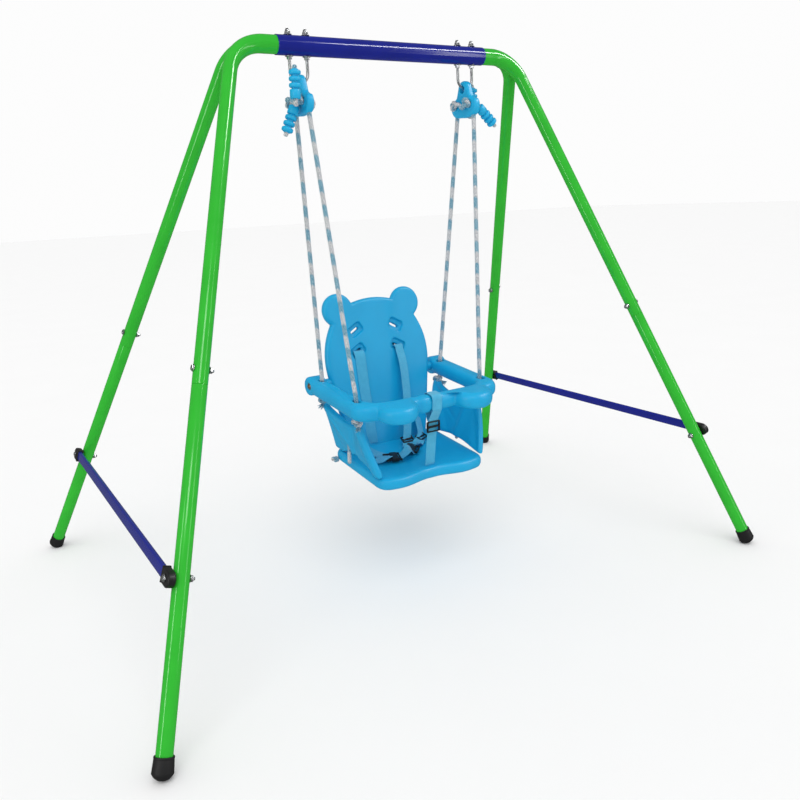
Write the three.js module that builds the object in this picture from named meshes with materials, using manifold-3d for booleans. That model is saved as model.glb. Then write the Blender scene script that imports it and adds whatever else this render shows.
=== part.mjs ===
// A toddler's swing set: a bolted A-frame of bent steel tube with a sleeved crossbar, and a moulded
// bucket seat that hangs from two U-bolts by four ropes, with a hinged guard bar and a harness.
// Millimetres. The floor is z = 0, the crossbar runs along X, and the child faces -Y.
import * as THREE from 'three';
import { mergeVertices } from 'three/addons/utils/BufferGeometryUtils.js';
import Module from 'manifold-3d';

const wasm = await Module();
wasm.setup();

// ---- Driving dimensions ----
const BAR_Z = 1170; // height of the crossbar's axis
const BAR_Y = -115; // the crossbar stands forward of the middle of the feet
const BAR_HALF = 250; // half length of the blue sleeve
const BAR_RADIUS = 19;
const BAR_WALL = 1;
const APEX_X = 337; // where a leg's axis would meet the crossbar's axis
const FOOT_X = 727;
const FOOT_Y = 540;
const STUB_RADIUS = 17.7; // the corner tube inside the sleeve
const LEG_RADIUS = 14; // the corner tube is drawn down to this round its bend
const TUBE_WALL = 1.4;
const STUB_END = 160; // how far in the stub reaches inside the sleeve
const BEND_RADIUS = 80;
const SEAM_Z = 573; // joint between the upper and the lower leg tubes
const NECK_LENGTH = 60; // reduced end of the lower tube, inside the upper one
const JOINT_BOLT_RISE = 25;
const BRACE_Z = 280;
const BRACE_HEIGHT = 22;
const BRACE_THICKNESS = 9;
const BRACE_OVERHANG = 13; // how far it runs past each of its bolts
const BOLT_RADIUS = 3;
const BOLT_HOLE = 3.4;
const GAP = 0.3; // clearance between touching pieces
const U_BOLT_X = 203.5;
const U_BOLT_RADIUS = 19; // half the distance between its two legs
const PIVOT_Z = 1101; // the swing turns about the bottoms of the two U-bolts
const PLATE_THICKNESS = 16;
const ROPE_RADIUS = 5;
const SLEEVE_BASE = 17; // the plain end of a sleeve on a rope's tail
const SLEEVE_RIBS = 3;
const RIB_PITCH = 12;
const RIB_RADIUS = 11.8;
const ROPE_SPREAD = 30; // front and rear rope holes of a plate, from its middle
const ROPE_TOP_Z = 1054;

// The seat has its own frame, tipped forward: its origin is midway between the guard bar's four
// rope holes, at the height of the bar's top face.
const SEAT_Z = 462;
const SEAT_TILT = THREE.MathUtils.degToRad(5.5);
const HOLE_X = 165;
const HOLE_Y = 82;
const GUARD_HEIGHT = 38;
const GUARD_WIDTH = 42;
const GUARD_REAR_Y = 132;
const GUARD_FRONT_Y = -147;
const GUARD_OUTER_X = HOLE_X + GUARD_WIDTH / 2 + 4;
const GUARD_INNER_X = GUARD_OUTER_X - GUARD_WIDTH;
const PAW_X = 99;
const PAW_RADIUS = 46;
const HINGE_Y = 103;
const HINGE_Z = -17;
const BOSS_RADIUS = 11; // the backrest's bosses, which the guard bar's arms turn on
const PAN_TOP = -172;
const PAN_THICKNESS = 28;
const BACK_TILT = THREE.MathUtils.degToRad(14.6);
const BACK_FOOT_Y = 48; // front face of the backrest where it meets the pan
const BACK_THICKNESS = 20;
const SLOT = { x: 55, width: 29, height: 9, lowerZ: 50, upperZ: 98 }; // strap slots in the backrest
const WING_THICKNESS = 15;
const WING_TOP = { x: 157, z: -60 };
const WING_BOTTOM = { x: 132, z: PAN_TOP + GAP };
const STRAP_WIDTH = 25;
const STRAP_THICKNESS = 2;

const SIDES = { left: -1, right: 1 };
const ENDS = { front: -1, rear: 1 };

// ---- Materials ----
const paint = (color, roughness, metalness) => new THREE.MeshStandardMaterial({ color, roughness, metalness });
const materials = {
  green: paint(0x35b935, 0.3, 0.2),
  blue: paint(0x14218a, 0.3, 0.2),
  steel: paint(0xb9bcc0, 0.3, 1),
  rubber: paint(0x161616, 0.7, 0),
  plastic: paint(0x1fa3d6, 0.4, 0),
  rope: paint(0xc9dfe6, 0.9, 0),
  webbing: paint(0x36a9dc, 0.85, 0),
  buckle: paint(0x101114, 0.5, 0),
};

const group = new THREE.Group();
const seat = new THREE.Group();
seat.position.set(0, BAR_Y, SEAT_Z);
seat.rotation.x = SEAT_TILT;
seat.updateMatrix();
group.add(seat);

function add(name, geometry, material, parent = group) {
  const mesh = new THREE.Mesh(geometry, material);
  mesh.name = name;
  parent.add(mesh);
  return mesh;
}

const vec = (x, y, z) => new THREE.Vector3(x, y, z);
const seatPoint = (x, y, z) => vec(x, y, z).applyMatrix4(seat.matrix);

// ---- Solids ----
function toSolid(geometry) {
  const plain = geometry.clone();
  plain.deleteAttribute('normal');
  plain.deleteAttribute('uv');
  const merged = mergeVertices(plain, 1e-4);
  return new wasm.Manifold(new wasm.Mesh({
    numProp: 3,
    vertProperties: new Float32Array(merged.attributes.position.array),
    triVerts: new Uint32Array(merged.index.array),
  }));
}

function fromSolid(solid) {
  const mesh = solid.getMesh();
  const geometry = new THREE.BufferGeometry();
  geometry.setAttribute('position', new THREE.BufferAttribute(mesh.vertProperties, 3));
  geometry.setIndex(new THREE.BufferAttribute(mesh.triVerts, 1));
  geometry.computeVertexNormals();
  return geometry;
}

// The largest body left of `geometry` once every tool in `tools` has been cut away.
function cut(geometry, tools) {
  let solid = toSolid(geometry);
  for (const tool of tools) solid = solid.subtract(toSolid(tool));
  const bodies = solid.decompose().sort((a, b) => b.volume() - a.volume());
  return fromSolid(bodies[0]);
}

// Skins a row of rings. A closed row joins its last ring to its first, as a hollow tube does.
function loft(rings, closed) {
  const count = rings[0].length;
  const index = [];
  const last = closed ? rings.length : rings.length - 1;
  for (let i = 0; i < last; i += 1) {
    const a = i * count;
    const b = ((i + 1) % rings.length) * count;
    for (let j = 0; j < count; j += 1) {
      const k = (j + 1) % count;
      index.push(a + j, a + k, b + k, a + j, b + k, b + j);
    }
  }
  if (!closed) {
    const end = (rings.length - 1) * count;
    for (let j = 1; j < count - 1; j += 1) {
      index.push(0, j + 1, j, end, end + j, end + j + 1);
    }
  }
  const points = rings.flat();
  let volume = 0;
  for (let i = 0; i < index.length; i += 3) {
    const [p, q, r] = [points[index[i]], points[index[i + 1]], points[index[i + 2]]];
    volume += p.dot(vec(0, 0, 0).crossVectors(q, r));
  }
  if (volume < 0) index.reverse();
  const geometry = new THREE.BufferGeometry().setFromPoints(points);
  geometry.setIndex(index);
  geometry.computeVertexNormals();
  return geometry;
}

// Rings of one section along a path. `up` is never along the path, and keeps the section from turning.
function ringsAlong(path, section, up) {
  return path.map((point, i) => {
    const back = point.clone().sub(path[Math.max(i - 1, 0)]).normalize();
    const ahead = path[Math.min(i + 1, path.length - 1)].clone().sub(point).normalize();
    const tangent = back.add(ahead).normalize();
    const across = up.clone().cross(tangent).normalize();
    const lift = tangent.clone().cross(across);
    return section(i).map(([a, b]) => point.clone().addScaledVector(across, a).addScaledVector(lift, b));
  });
}

function circle(radius, sides) {
  return Array.from({ length: sides }, (_, i) => {
    const angle = (2 * Math.PI * (i + 0.5)) / sides;
    return [radius * Math.cos(angle), radius * Math.sin(angle)];
  });
}

const rod = (path, radius, sides, up) => loft(ringsAlong(path, () => circle(radius, sides), up), false);

function pipe(path, radiusAt, wall, sides, up) {
  const outside = ringsAlong(path, (i) => circle(radiusAt(i), sides), up);
  const inside = ringsAlong(path, (i) => circle(radiusAt(i) - wall, sides), up);
  return loft([...outside, ...inside.reverse()], true);
}

// A strap of webbing, its width along X.
function strap(path) {
  const half = [STRAP_THICKNESS / 2, STRAP_WIDTH / 2];
  const section = [[-half[0], -half[1]], [half[0], -half[1]], [half[0], half[1]], [-half[0], half[1]]];
  return loft(ringsAlong(path, () => section, vec(1, 0, 0)), false);
}

// A line through `corners` with each inner corner rounded to `radius` in `steps` chords.
function rounded(corners, radius, steps) {
  const path = [corners[0]];
  for (let i = 1; i < corners.length - 1; i += 1) {
    const inward = corners[i].clone().sub(corners[i - 1]).normalize();
    const onward = corners[i + 1].clone().sub(corners[i]).normalize();
    const turn = inward.angleTo(onward);
    const start = corners[i].clone().addScaledVector(inward, -radius * Math.tan(turn / 2));
    const toCentre = onward.clone().addScaledVector(inward, -onward.dot(inward)).normalize();
    for (let k = 0; k <= steps; k += 1) {
      const angle = (turn * k) / steps;
      const point = start.clone().addScaledVector(inward, radius * Math.sin(angle));
      path.push(point.addScaledVector(toCentre, radius * (1 - Math.cos(angle))));
    }
  }
  path.push(corners[corners.length - 1]);
  return path;
}

// A turned piece: `profile` holds [radius, distance] pairs, and the distance runs along `axis` from `origin`.
function turned(profile, segments, origin, axis) {
  const geometry = new THREE.LatheGeometry(profile.map(([r, d]) => new THREE.Vector2(r, d)), segments);
  geometry.applyQuaternion(new THREE.Quaternion().setFromUnitVectors(vec(0, 1, 0), axis));
  return geometry.translate(origin.x, origin.y, origin.z);
}

const cylinder = (radius, from, to, segments = 10) => {
  const length = from.distanceTo(to);
  const profile = [[0, 0], [radius, 0], [radius, length], [0, length]];
  return turned(profile, segments, from, to.clone().sub(from).normalize());
};

// A hex bolt with its washer and nut, head outside at `origin`, running along `axis` for `grip`.
function bolt(origin, axis, grip) {
  const profile = [
    [0, -4], [5.5, -4], [5.5, 0], [BOLT_RADIUS, 0], [BOLT_RADIUS, grip], [5.8, grip],
    [5.8, grip + 5], [BOLT_RADIUS, grip + 5], [BOLT_RADIUS, grip + 9], [0, grip + 9],
  ];
  return turned(profile, 6, origin, axis);
}

// A flat outline, extruded `thickness` along Z.
function slab(outline, thickness, curveSegments) {
  return new THREE.ExtrudeGeometry(outline, { depth: thickness, bevelEnabled: false, curveSegments });
}

// ---- A-frame ----
const legDirection = (side, end) => {
  const foot = vec(side * FOOT_X, end * FOOT_Y, 0);
  return foot.sub(vec(side * APEX_X, BAR_Y, BAR_Z)).normalize();
};
const legPoint = (side, end, z) => {
  const direction = legDirection(side, end);
  return vec(side * APEX_X, BAR_Y, BAR_Z).addScaledVector(direction, (z - BAR_Z) / direction.z);
};
// Each pair of legs stands in a plane that leans out, and this is its outward normal.
const outward = (side) => {
  const normal = legDirection(side, -1).cross(legDirection(side, 1)).normalize();
  return normal.x * side > 0 ? normal : normal.negate();
};
const through = (point, normal, reach) => cylinder(
  BOLT_HOLE,
  point.clone().addScaledVector(normal, reach),
  point.clone().addScaledVector(normal, -reach),
);

const uBoltLegs = [-1, 1].flatMap((side) => [-1, 1].map((k) => side * (U_BOLT_X + k * U_BOLT_RADIUS)));
const uBoltHole = (x) => cylinder(BOLT_HOLE, vec(x, BAR_Y, BAR_Z - 40), vec(x, BAR_Y, BAR_Z + 40));

function addCrossbar() {
  const path = [vec(-BAR_HALF, BAR_Y, BAR_Z), vec(BAR_HALF, BAR_Y, BAR_Z)];
  const tube = pipe(path, () => BAR_RADIUS, BAR_WALL, 20, vec(0, 0, 1));
  add('crossbar_sleeve', cut(tube, uBoltLegs.map(uBoltHole)), materials.blue);
}

// The corner tube: a stub inside the sleeve, the bend, and the upper front leg.
function cornerPath(side, end) {
  const normal = vec(side * STUB_END, BAR_Y, BAR_Z);
  return rounded([normal, vec(side * APEX_X, BAR_Y, BAR_Z), legPoint(side, end, SEAM_Z)], BEND_RADIUS, 8);
}
const cornerUp = (side, end) => legDirection(side, end).cross(vec(side, 0, 0)).normalize();
const cornerRadius = (i) => {
  const share = THREE.MathUtils.clamp((i - 1) / 8, 0, 1);
  return THREE.MathUtils.lerp(STUB_RADIUS, LEG_RADIUS, share);
};

function addUpperLegs(sideName) {
  const side = SIDES[sideName];
  const normal = outward(side);
  const boltPoint = (end) => legPoint(side, end, SEAM_Z + JOINT_BOLT_RISE);

  const frontPath = cornerPath(side, -1);
  const frontUp = cornerUp(side, -1);
  const frontTube = pipe(frontPath, cornerRadius, TUBE_WALL, 16, frontUp);
  const frontHoles = uBoltLegs.filter((x) => x * side > 0).map(uBoltHole);
  add(`corner_tube_${sideName}`, cut(frontTube, [...frontHoles, through(boltPoint(-1), normal, 20)]), materials.green);

  // The rear tube is coped to the back of the corner tube, and welded there.
  const clearance = loft(ringsAlong(frontPath, (i) => circle(cornerRadius(i) + GAP, 16), frontUp), false);
  const rearPath = cornerPath(side, 1).slice(1);
  const rearTube = pipe(rearPath, () => LEG_RADIUS, TUBE_WALL, 16, cornerUp(side, 1));
  add(`rear_tube_${sideName}`, cut(rearTube, [clearance, through(boltPoint(1), normal, 20)]), materials.green);
}

function addLowerLeg(sideName, endName) {
  const [side, end] = [SIDES[sideName], ENDS[endName]];
  const direction = legDirection(side, end);
  const normal = outward(side);
  const seam = legPoint(side, end, SEAM_Z).addScaledVector(direction, GAP);
  const length = seam.distanceTo(legPoint(side, end, 0)) - 24;
  const neck = LEG_RADIUS - TUBE_WALL - GAP;
  const bore = neck - TUBE_WALL;
  const profile = [
    [neck, -NECK_LENGTH], [neck, 0], [LEG_RADIUS, 0], [LEG_RADIUS, length],
    [LEG_RADIUS - TUBE_WALL, length], [LEG_RADIUS - TUBE_WALL, 6], [bore, 0], [bore, -NECK_LENGTH],
    [neck, -NECK_LENGTH],
  ];
  const bracePoint = legPoint(side, end, BRACE_Z);
  const jointPoint = legPoint(side, end, SEAM_Z + JOINT_BOLT_RISE);
  const holes = [through(bracePoint, normal, 20), through(jointPoint, normal, 20)];
  add(`lower_leg_${endName}_${sideName}`, cut(turned(profile, 16, seam, direction), holes), materials.green);

  const jointHead = jointPoint.clone().addScaledVector(normal, LEG_RADIUS + GAP);
  const inward = normal.clone().negate();
  add(`joint_bolt_${endName}_${sideName}`, bolt(jointHead, inward, 2 * (LEG_RADIUS + GAP)), materials.steel);
  addFoot(sideName, endName, seam.addScaledVector(direction, length), direction);
}

// A rubber cap, cut level with the floor.
function addFoot(sideName, endName, tubeEnd, direction) {
  const inner = LEG_RADIUS + GAP;
  const profile = [
    [0, GAP], [inner, GAP], [inner, -26], [16.4, -26], [17.5, -22], [18, 40], [0, 40],
  ];
  const cap = toSolid(turned(profile, 16, tubeEnd, direction)).trimByPlane([0, 0, 1], 0);
  add(`foot_cap_${endName}_${sideName}`, fromSolid(cap), materials.rubber);
}

function addBrace(sideName) {
  const side = SIDES[sideName];
  const normal = outward(side);
  const offset = LEG_RADIUS + GAP + 2 + BRACE_THICKNESS / 2 + GAP;
  const bolts = Object.entries(ENDS).map(([endName, end]) => ({ endName, end, point: legPoint(side, end, BRACE_Z) }));
  const [front, rear] = bolts.map(({ end, point }) => {
    const middle = point.clone().addScaledVector(normal, offset);
    return middle.add(vec(0, BRACE_OVERHANG * end, 0));
  });
  const corner = [BRACE_THICKNESS / 2, BRACE_HEIGHT / 2];
  const section = [[1, 0.6], [0.6, 1], [-0.6, 1], [-1, 0.6], [-1, -0.6], [-0.6, -1], [0.6, -1], [1, -0.6]]
    .map(([a, b]) => [a * corner[1], b * corner[0]]);
  const lining = section.map(([a, b]) => [a * (1 - TUBE_WALL / corner[1]), b * (1 - TUBE_WALL / corner[0])]);
  const outside = ringsAlong([front, rear], () => section, normal);
  const bar = loft([...outside, ...ringsAlong([rear, front], () => lining, normal)], true);
  const holes = bolts.map(({ point }) => through(point, normal, 40));
  add(`brace_${sideName}`, cut(bar, holes), materials.blue);

  const pocketHalf = [BRACE_THICKNESS / 2 + GAP, BRACE_HEIGHT / 2 + GAP];
  for (const { endName, end, point } of bolts) {
    const shape = new THREE.Shape();
    shape.moveTo(-20, -14).lineTo(8, -14).quadraticCurveTo(20, -10, 20, 0);
    shape.quadraticCurveTo(20, 10, 8, 14).lineTo(-20, 14).closePath();
    const depth = 2 * (pocketHalf[0] + 2);
    const cap = slab(shape, depth, 3);
    // The outline's X runs out along the brace, its Y up the frame and its depth along the normal.
    const out = vec(0, end, 0);
    const basis = new THREE.Matrix4().makeBasis(out, normal.clone().cross(out), normal);
    basis.setPosition(point.clone().addScaledVector(normal, LEG_RADIUS + GAP));
    cap.applyMatrix4(basis);
    const middle = point.clone().addScaledVector(normal, offset);
    const pocketPath = [middle.clone().addScaledVector(out, -40), middle.clone().addScaledVector(out, BRACE_OVERHANG + GAP)];
    const [a, b] = pocketHalf;
    const pocket = loft(ringsAlong(pocketPath, () => [[-b, -a], [b, -a], [b, a], [-b, a]], normal), false);
    add(`brace_cap_${endName}_${sideName}`, cut(cap, [pocket, through(point, normal, 40)]), materials.rubber);
    const head = point.clone().addScaledVector(normal, LEG_RADIUS + 2 * GAP + depth);
    const grip = 2 * LEG_RADIUS + depth + 3 * GAP;
    add(`brace_bolt_${endName}_${sideName}`, bolt(head, normal.clone().negate(), grip), materials.steel);
  }
}

function addUBolt(sideName) {
  const side = SIDES[sideName];
  const centre = vec(side * U_BOLT_X, BAR_Y, PIVOT_Z + U_BOLT_RADIUS);
  const tipZ = BAR_Z + BAR_RADIUS + 13;
  const path = [centre.clone().setZ(tipZ).add(vec(-U_BOLT_RADIUS, 0, 0))];
  for (let k = 0; k <= 8; k += 1) {
    const angle = Math.PI * (1 + k / 8);
    path.push(centre.clone().add(vec(U_BOLT_RADIUS * Math.cos(angle), 0, U_BOLT_RADIUS * Math.sin(angle))));
  }
  path.push(centre.clone().setZ(tipZ).add(vec(U_BOLT_RADIUS, 0, 0)));
  add(`u_bolt_${sideName}`, rod(path, BOLT_RADIUS, 8, vec(0, 1, 0)), materials.steel);

  for (const [legName, k] of [['outer', side], ['inner', -side]]) {
    const x = side * U_BOLT_X + k * U_BOLT_RADIUS;
    const bore = (BOLT_RADIUS + GAP) / Math.cos(Math.PI / 6);
    const nut = [[bore, 0], [8, 0], [8, 1.2], [5.6, 1.2], [5.6, 7], [bore, 7], [bore, 0]];
    const top = vec(x, BAR_Y, BAR_Z + BAR_RADIUS + GAP);
    const under = vec(x, BAR_Y, BAR_Z - BAR_RADIUS - GAP);
    add(`u_bolt_nut_top_${legName}_${sideName}`, turned(nut, 6, top, vec(0, 0, 1)), materials.steel);
    add(`u_bolt_nut_under_${legName}_${sideName}`, turned(nut, 6, under, vec(0, 0, -1)), materials.steel);
  }
}

// ---- Swing: plates, ropes and seat ----
const ropePath = (side, end) => [
  vec(side * U_BOLT_X, BAR_Y + end * ROPE_SPREAD, ROPE_TOP_Z),
  seatPoint(side * HOLE_X, end * HOLE_Y, 2),
  seatPoint(side * (HOLE_X - 1), end * HOLE_Y, -GUARD_HEIGHT - 2),
  seatPoint(side * wingX(-70), end * HOLE_Y, -70),
];
const wingX = (z) => THREE.MathUtils.mapLinear(z, WING_TOP.z, WING_BOTTOM.z, WING_TOP.x, WING_BOTTOM.x);
// Room for a rope's end: its outline swollen by the clearance, a little longer than the rope itself.
const ropeRoom = (from, to) => {
  const along = to.clone().sub(from).normalize();
  return cylinder(ROPE_RADIUS + GAP, from, to.clone().addScaledVector(along, GAP), 12);
};

function addPlate(sideName) {
  const side = SIDES[sideName];
  const holeRadius = 9;
  const holeZ = PIVOT_Z - 3.2;
  const half = PLATE_THICKNESS / 2;
  const disc = (y, z, radius) => toSolid(cylinder(
    radius,
    vec(side * U_BOLT_X - half, BAR_Y + y, z),
    vec(side * U_BOLT_X + half, BAR_Y + y, z),
    16,
  ));
  let plate = wasm.Manifold.hull([disc(0, holeZ, 19), disc(-25, holeZ - 36, 22), disc(25, holeZ - 36, 22)]);
  plate = plate.subtract(disc(0, holeZ, holeRadius));
  for (const end of Object.values(ENDS)) {
    const [top, bottom] = ropePath(side, end);
    plate = plate.subtract(toSolid(ropeRoom(bottom, top)));
  }
  add(`rope_plate_${sideName}`, fromSolid(plate), materials.plastic);
}

function addRopes(sideName) {
  for (const [endName, end] of Object.entries(ENDS)) {
    add(`rope_${endName}_${sideName}`, rod(ropePath(SIDES[sideName], end), ROPE_RADIUS, 8, vec(0, 1, 0)), materials.rope);
  }
}

// The ribbed sleeves on the ropes' free tails, each with the rope's tip standing out of it.
function addSleeves() {
  const sleeves = [
    ['front_left', vec(-239, -166, 1065), vec(0.05, 0, 1)],
    ['rear_left', vec(-224, -125, 1055), vec(-0.4, 0, -0.92)],
    ['front_right', vec(225, -137, 1059), vec(0.8, 0, -0.72)],
    ['rear_right', vec(243, -88, 1053), vec(0, 0, 1)],
  ];
  const profile = [[0, 0], [10.5, 0], [10.5, SLEEVE_BASE - 1.5]];
  for (let rib = 0; rib < SLEEVE_RIBS; rib += 1) {
    const start = SLEEVE_BASE + rib * RIB_PITCH;
    profile.push([7, start], [7, start + 2], [RIB_RADIUS, start + 3.5], [RIB_RADIUS, start + 10.5]);
  }
  const end = SLEEVE_BASE + SLEEVE_RIBS * RIB_PITCH;
  profile.push([7, end], [ROPE_RADIUS, end + 0.5], [ROPE_RADIUS, end + 8], [0, end + 8]);
  for (const [name, base, axis] of sleeves) {
    add(`tail_sleeve_${name}`, turned(profile, 8, base, axis.normalize()), materials.plastic);
  }
}

// The backrest's outline, in its own plane: a rounded body with two round ears.
function backrestOutline() {
  const shape = new THREE.Shape();
  shape.moveTo(-104, -10).lineTo(104, -10);
  shape.quadraticCurveTo(118, 60, 136, 170).quadraticCurveTo(148, 240, 121, 306);
  shape.absarc(92, 329, 35, -0.7, 2.55, false);
  shape.quadraticCurveTo(0, 352, -92 + 35 * Math.cos(0.59), 329 + 35 * Math.sin(0.59));
  shape.absarc(-92, 329, 35, 0.59, Math.PI + 0.7, false);
  shape.quadraticCurveTo(-148, 240, -136, 170).quadraticCurveTo(-118, 60, -104, -10);
  return shape;
}

function addBackrest() {
  const panel = slab(backrestOutline(), BACK_THICKNESS, 7);
  panel.translate(0, 0, -BACK_THICKNESS).rotateX(Math.PI / 2 - BACK_TILT).translate(0, BACK_FOOT_Y, PAN_TOP);
  let solid = toSolid(panel).trimByPlane([0, 0, 1], PAN_TOP + GAP);
  for (const side of Object.values(SIDES)) {
    const onHinge = (x) => vec(side * x, HINGE_Y, HINGE_Z);
    solid = solid.add(toSolid(cylinder(BOSS_RADIUS, onHinge(112), onHinge(GUARD_INNER_X - GAP))));
    solid = solid.subtract(toSolid(cylinder(BOLT_HOLE, onHinge(118), onHinge(GUARD_INNER_X), 8)));
    // The strap slots run level through the leaning backrest, so a strap passes straight back.
    for (const z of [SLOT.lowerZ, SLOT.upperZ]) {
      const hole = new THREE.BoxGeometry(SLOT.width, 90, SLOT.height).rotateX(-SEAT_TILT);
      solid = solid.subtract(toSolid(hole.translate(side * SLOT.x, HINGE_Y + z / 8, z)));
    }
  }
  add('backrest', fromSolid(solid), materials.plastic, seat);
}

function addPan() {
  const shape = new THREE.Shape();
  shape.moveTo(-140, 50).quadraticCurveTo(-140, 80, -110, 80).lineTo(110, 80).quadraticCurveTo(140, 80, 140, 50);
  shape.lineTo(140, -118).quadraticCurveTo(138, -148, 106, -152);
  shape.bezierCurveTo(60, -160, 40, -140, 0, -143).bezierCurveTo(-40, -140, -60, -160, -106, -152);
  shape.quadraticCurveTo(-138, -148, -140, -118).closePath();
  const pan = slab(shape, PAN_THICKNESS, 6);
  add('seat_pan', pan.translate(0, 0, PAN_TOP - PAN_THICKNESS), materials.plastic, seat);
}

// A side panel like a stretched hide: four corners joined by hollow curves, leaning in towards the pan.
function addWing(sideName) {
  const side = SIDES[sideName];
  const drop = WING_TOP.z - WING_BOTTOM.z;
  const lean = Math.atan2(WING_TOP.x - WING_BOTTOM.x, drop);
  const height = drop / Math.cos(lean);
  const shape = new THREE.Shape();
  shape.moveTo(HOLE_Y + 10, 9).lineTo(HOLE_Y - 9, 10);
  shape.quadraticCurveTo(0, -10, -HOLE_Y + 9, 8).lineTo(-HOLE_Y - 10, 6);
  shape.quadraticCurveTo(-HOLE_Y - 2, -60, -136, -height + 8).lineTo(-134, -height);
  shape.lineTo(-122, -height).quadraticCurveTo(-40, -height + 52, 30, -height).lineTo(60, -height);
  shape.quadraticCurveTo(64, -60, HOLE_Y + 10, 9);
  const panel = slab(shape, WING_THICKNESS, 5).translate(0, 0, -WING_THICKNESS / 2);
  // The outline's X becomes the seat's Y, its Y goes up the panel, and its depth crosses the panel.
  const up = vec(side * Math.sin(lean), 0, Math.cos(lean));
  const basis = new THREE.Matrix4().makeBasis(vec(0, 1, 0), up, vec(0, 1, 0).cross(up));
  basis.setPosition(side * WING_TOP.x, 0, WING_TOP.z);
  panel.applyMatrix4(basis);
  let solid = toSolid(panel).trimByPlane([0, 0, 1], PAN_TOP + GAP);
  const toSeat = seat.matrix.clone().invert();
  for (const end of Object.values(ENDS)) {
    const path = ropePath(side, end).map((point) => point.applyMatrix4(toSeat));
    solid = solid.subtract(toSolid(ropeRoom(path[2], path[3])));
  }
  add(`side_wing_${sideName}`, fromSolid(solid), materials.plastic, seat);
}

// ---- Guard bar ----
function guardOutline() {
  const [outer, inner] = [GUARD_OUTER_X, GUARD_INNER_X];
  const innerFront = GUARD_FRONT_Y + GUARD_WIDTH;
  const shape = new THREE.Shape();
  shape.moveTo(inner, GUARD_REAR_Y - 12).quadraticCurveTo(inner, GUARD_REAR_Y, inner + 12, GUARD_REAR_Y);
  shape.lineTo(outer - 12, GUARD_REAR_Y).quadraticCurveTo(outer, GUARD_REAR_Y, outer, GUARD_REAR_Y - 12);
  shape.lineTo(outer, -95).quadraticCurveTo(outer, -140, PAW_X + PAW_RADIUS, -143);
  shape.absarc(PAW_X, -143, PAW_RADIUS, 0, -Math.PI, true);
  shape.quadraticCurveTo(40, GUARD_FRONT_Y, 0, GUARD_FRONT_Y);
  shape.quadraticCurveTo(-40, GUARD_FRONT_Y, -PAW_X + PAW_RADIUS, -143);
  shape.absarc(-PAW_X, -143, PAW_RADIUS, 0, -Math.PI, true);
  shape.quadraticCurveTo(-outer, -140, -outer, -95).lineTo(-outer, GUARD_REAR_Y - 12);
  shape.quadraticCurveTo(-outer, GUARD_REAR_Y, -outer + 12, GUARD_REAR_Y).lineTo(-inner - 12, GUARD_REAR_Y);
  shape.quadraticCurveTo(-inner, GUARD_REAR_Y, -inner, GUARD_REAR_Y - 12);
  shape.lineTo(-inner, innerFront + 26).quadraticCurveTo(-inner, innerFront, -inner + 26, innerFront);
  shape.lineTo(inner - 26, innerFront).quadraticCurveTo(inner, innerFront, inner, innerFront + 26);
  shape.closePath();
  return shape;
}

// A rope's slot in the guard bar, long enough fore and aft for the bar to be lifted.
function ropeSlot(side, end) {
  const front = end < 0 ? -HOLE_Y - 19 : HOLE_Y - 12;
  const back = end < 0 ? -HOLE_Y + 8 : HOLE_Y + 12;
  const half = 8;
  return new THREE.BoxGeometry(2 * half, back - front, 80).translate(side * HOLE_X, (front + back) / 2, 0);
}

function addGuardBar() {
  const bar = slab(guardOutline(), GUARD_HEIGHT, 6).translate(0, 0, -GUARD_HEIGHT);
  const slots = [-1, 1].flatMap((side) => [-1, 1].map((end) => ropeSlot(side, end)));
  const hinge = cylinder(BOLT_HOLE, vec(-200, HINGE_Y, HINGE_Z), vec(200, HINGE_Y, HINGE_Z), 8);
  add('guard_bar', cut(bar, [...slots, hinge]), materials.plastic, seat);
  const face = GUARD_OUTER_X + GAP;
  for (const [sideName, side] of Object.entries(SIDES)) {
    const profile = [[0, -3], [7, -3], [8, 0], [BOLT_RADIUS, 0], [BOLT_RADIUS, 66], [0, 66]];
    const head = vec(side * face, HINGE_Y, HINGE_Z);
    add(`guard_hinge_bolt_${sideName}`, turned(profile, 8, head, vec(-side, 0, 0)), materials.steel, seat);
  }
}

// ---- Harness ----
function addHarness() {
  const lean = Math.tan(BACK_TILT);
  const clear = 3;
  const onBack = (x, z) => vec(x, BACK_FOOT_Y + (z - PAN_TOP) * lean - clear, z);
  for (const [sideName, side] of Object.entries(SIDES)) {
    const path = [onBack(side * 55, 38), onBack(side * 50, -30), onBack(side * 40, -110), onBack(side * 32, -150)];
    add(`shoulder_strap_${sideName}`, strap(path), materials.webbing, seat);
  }
  // The crotch strap loops round the guard bar, and its two plies run down together to the pan.
  const [front, back, top] = [GUARD_FRONT_Y - 3, GUARD_FRONT_Y + GUARD_WIDTH + 3, 3];
  const middle = (front + back) / 2 - 6;
  const loop = [
    vec(0, middle + 2, -60), vec(0, back, -GUARD_HEIGHT), vec(0, back, top),
    vec(0, front, top), vec(0, front, -GUARD_HEIGHT), vec(0, middle - 2, -60),
  ];
  add('crotch_loop', strap(loop), materials.webbing, seat);
  const tail = [vec(0, middle, -62), vec(0, middle + 4, -120), vec(0, middle + 8, PAN_TOP + GAP)];
  add('crotch_strap', strap(tail), materials.webbing, seat);
  const openings = [6, -6].map((z) => new THREE.BoxGeometry(27, 10, 7.5).translate(0, 0, z));
  const slider = cut(new THREE.BoxGeometry(34, 4, 25), openings).translate(0, middle - 6, -75);
  add('crotch_slider', slider, materials.buckle, seat);
}

addCrossbar();
for (const sideName of Object.keys(SIDES)) {
  addUpperLegs(sideName);
  for (const endName of Object.keys(ENDS)) addLowerLeg(sideName, endName);
  addBrace(sideName);
  addUBolt(sideName);
  addPlate(sideName);
  addRopes(sideName);
  addWing(sideName);
}
addSleeves();
addBackrest();
addPan();
addGuardBar();
addHarness();

export default group;
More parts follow.
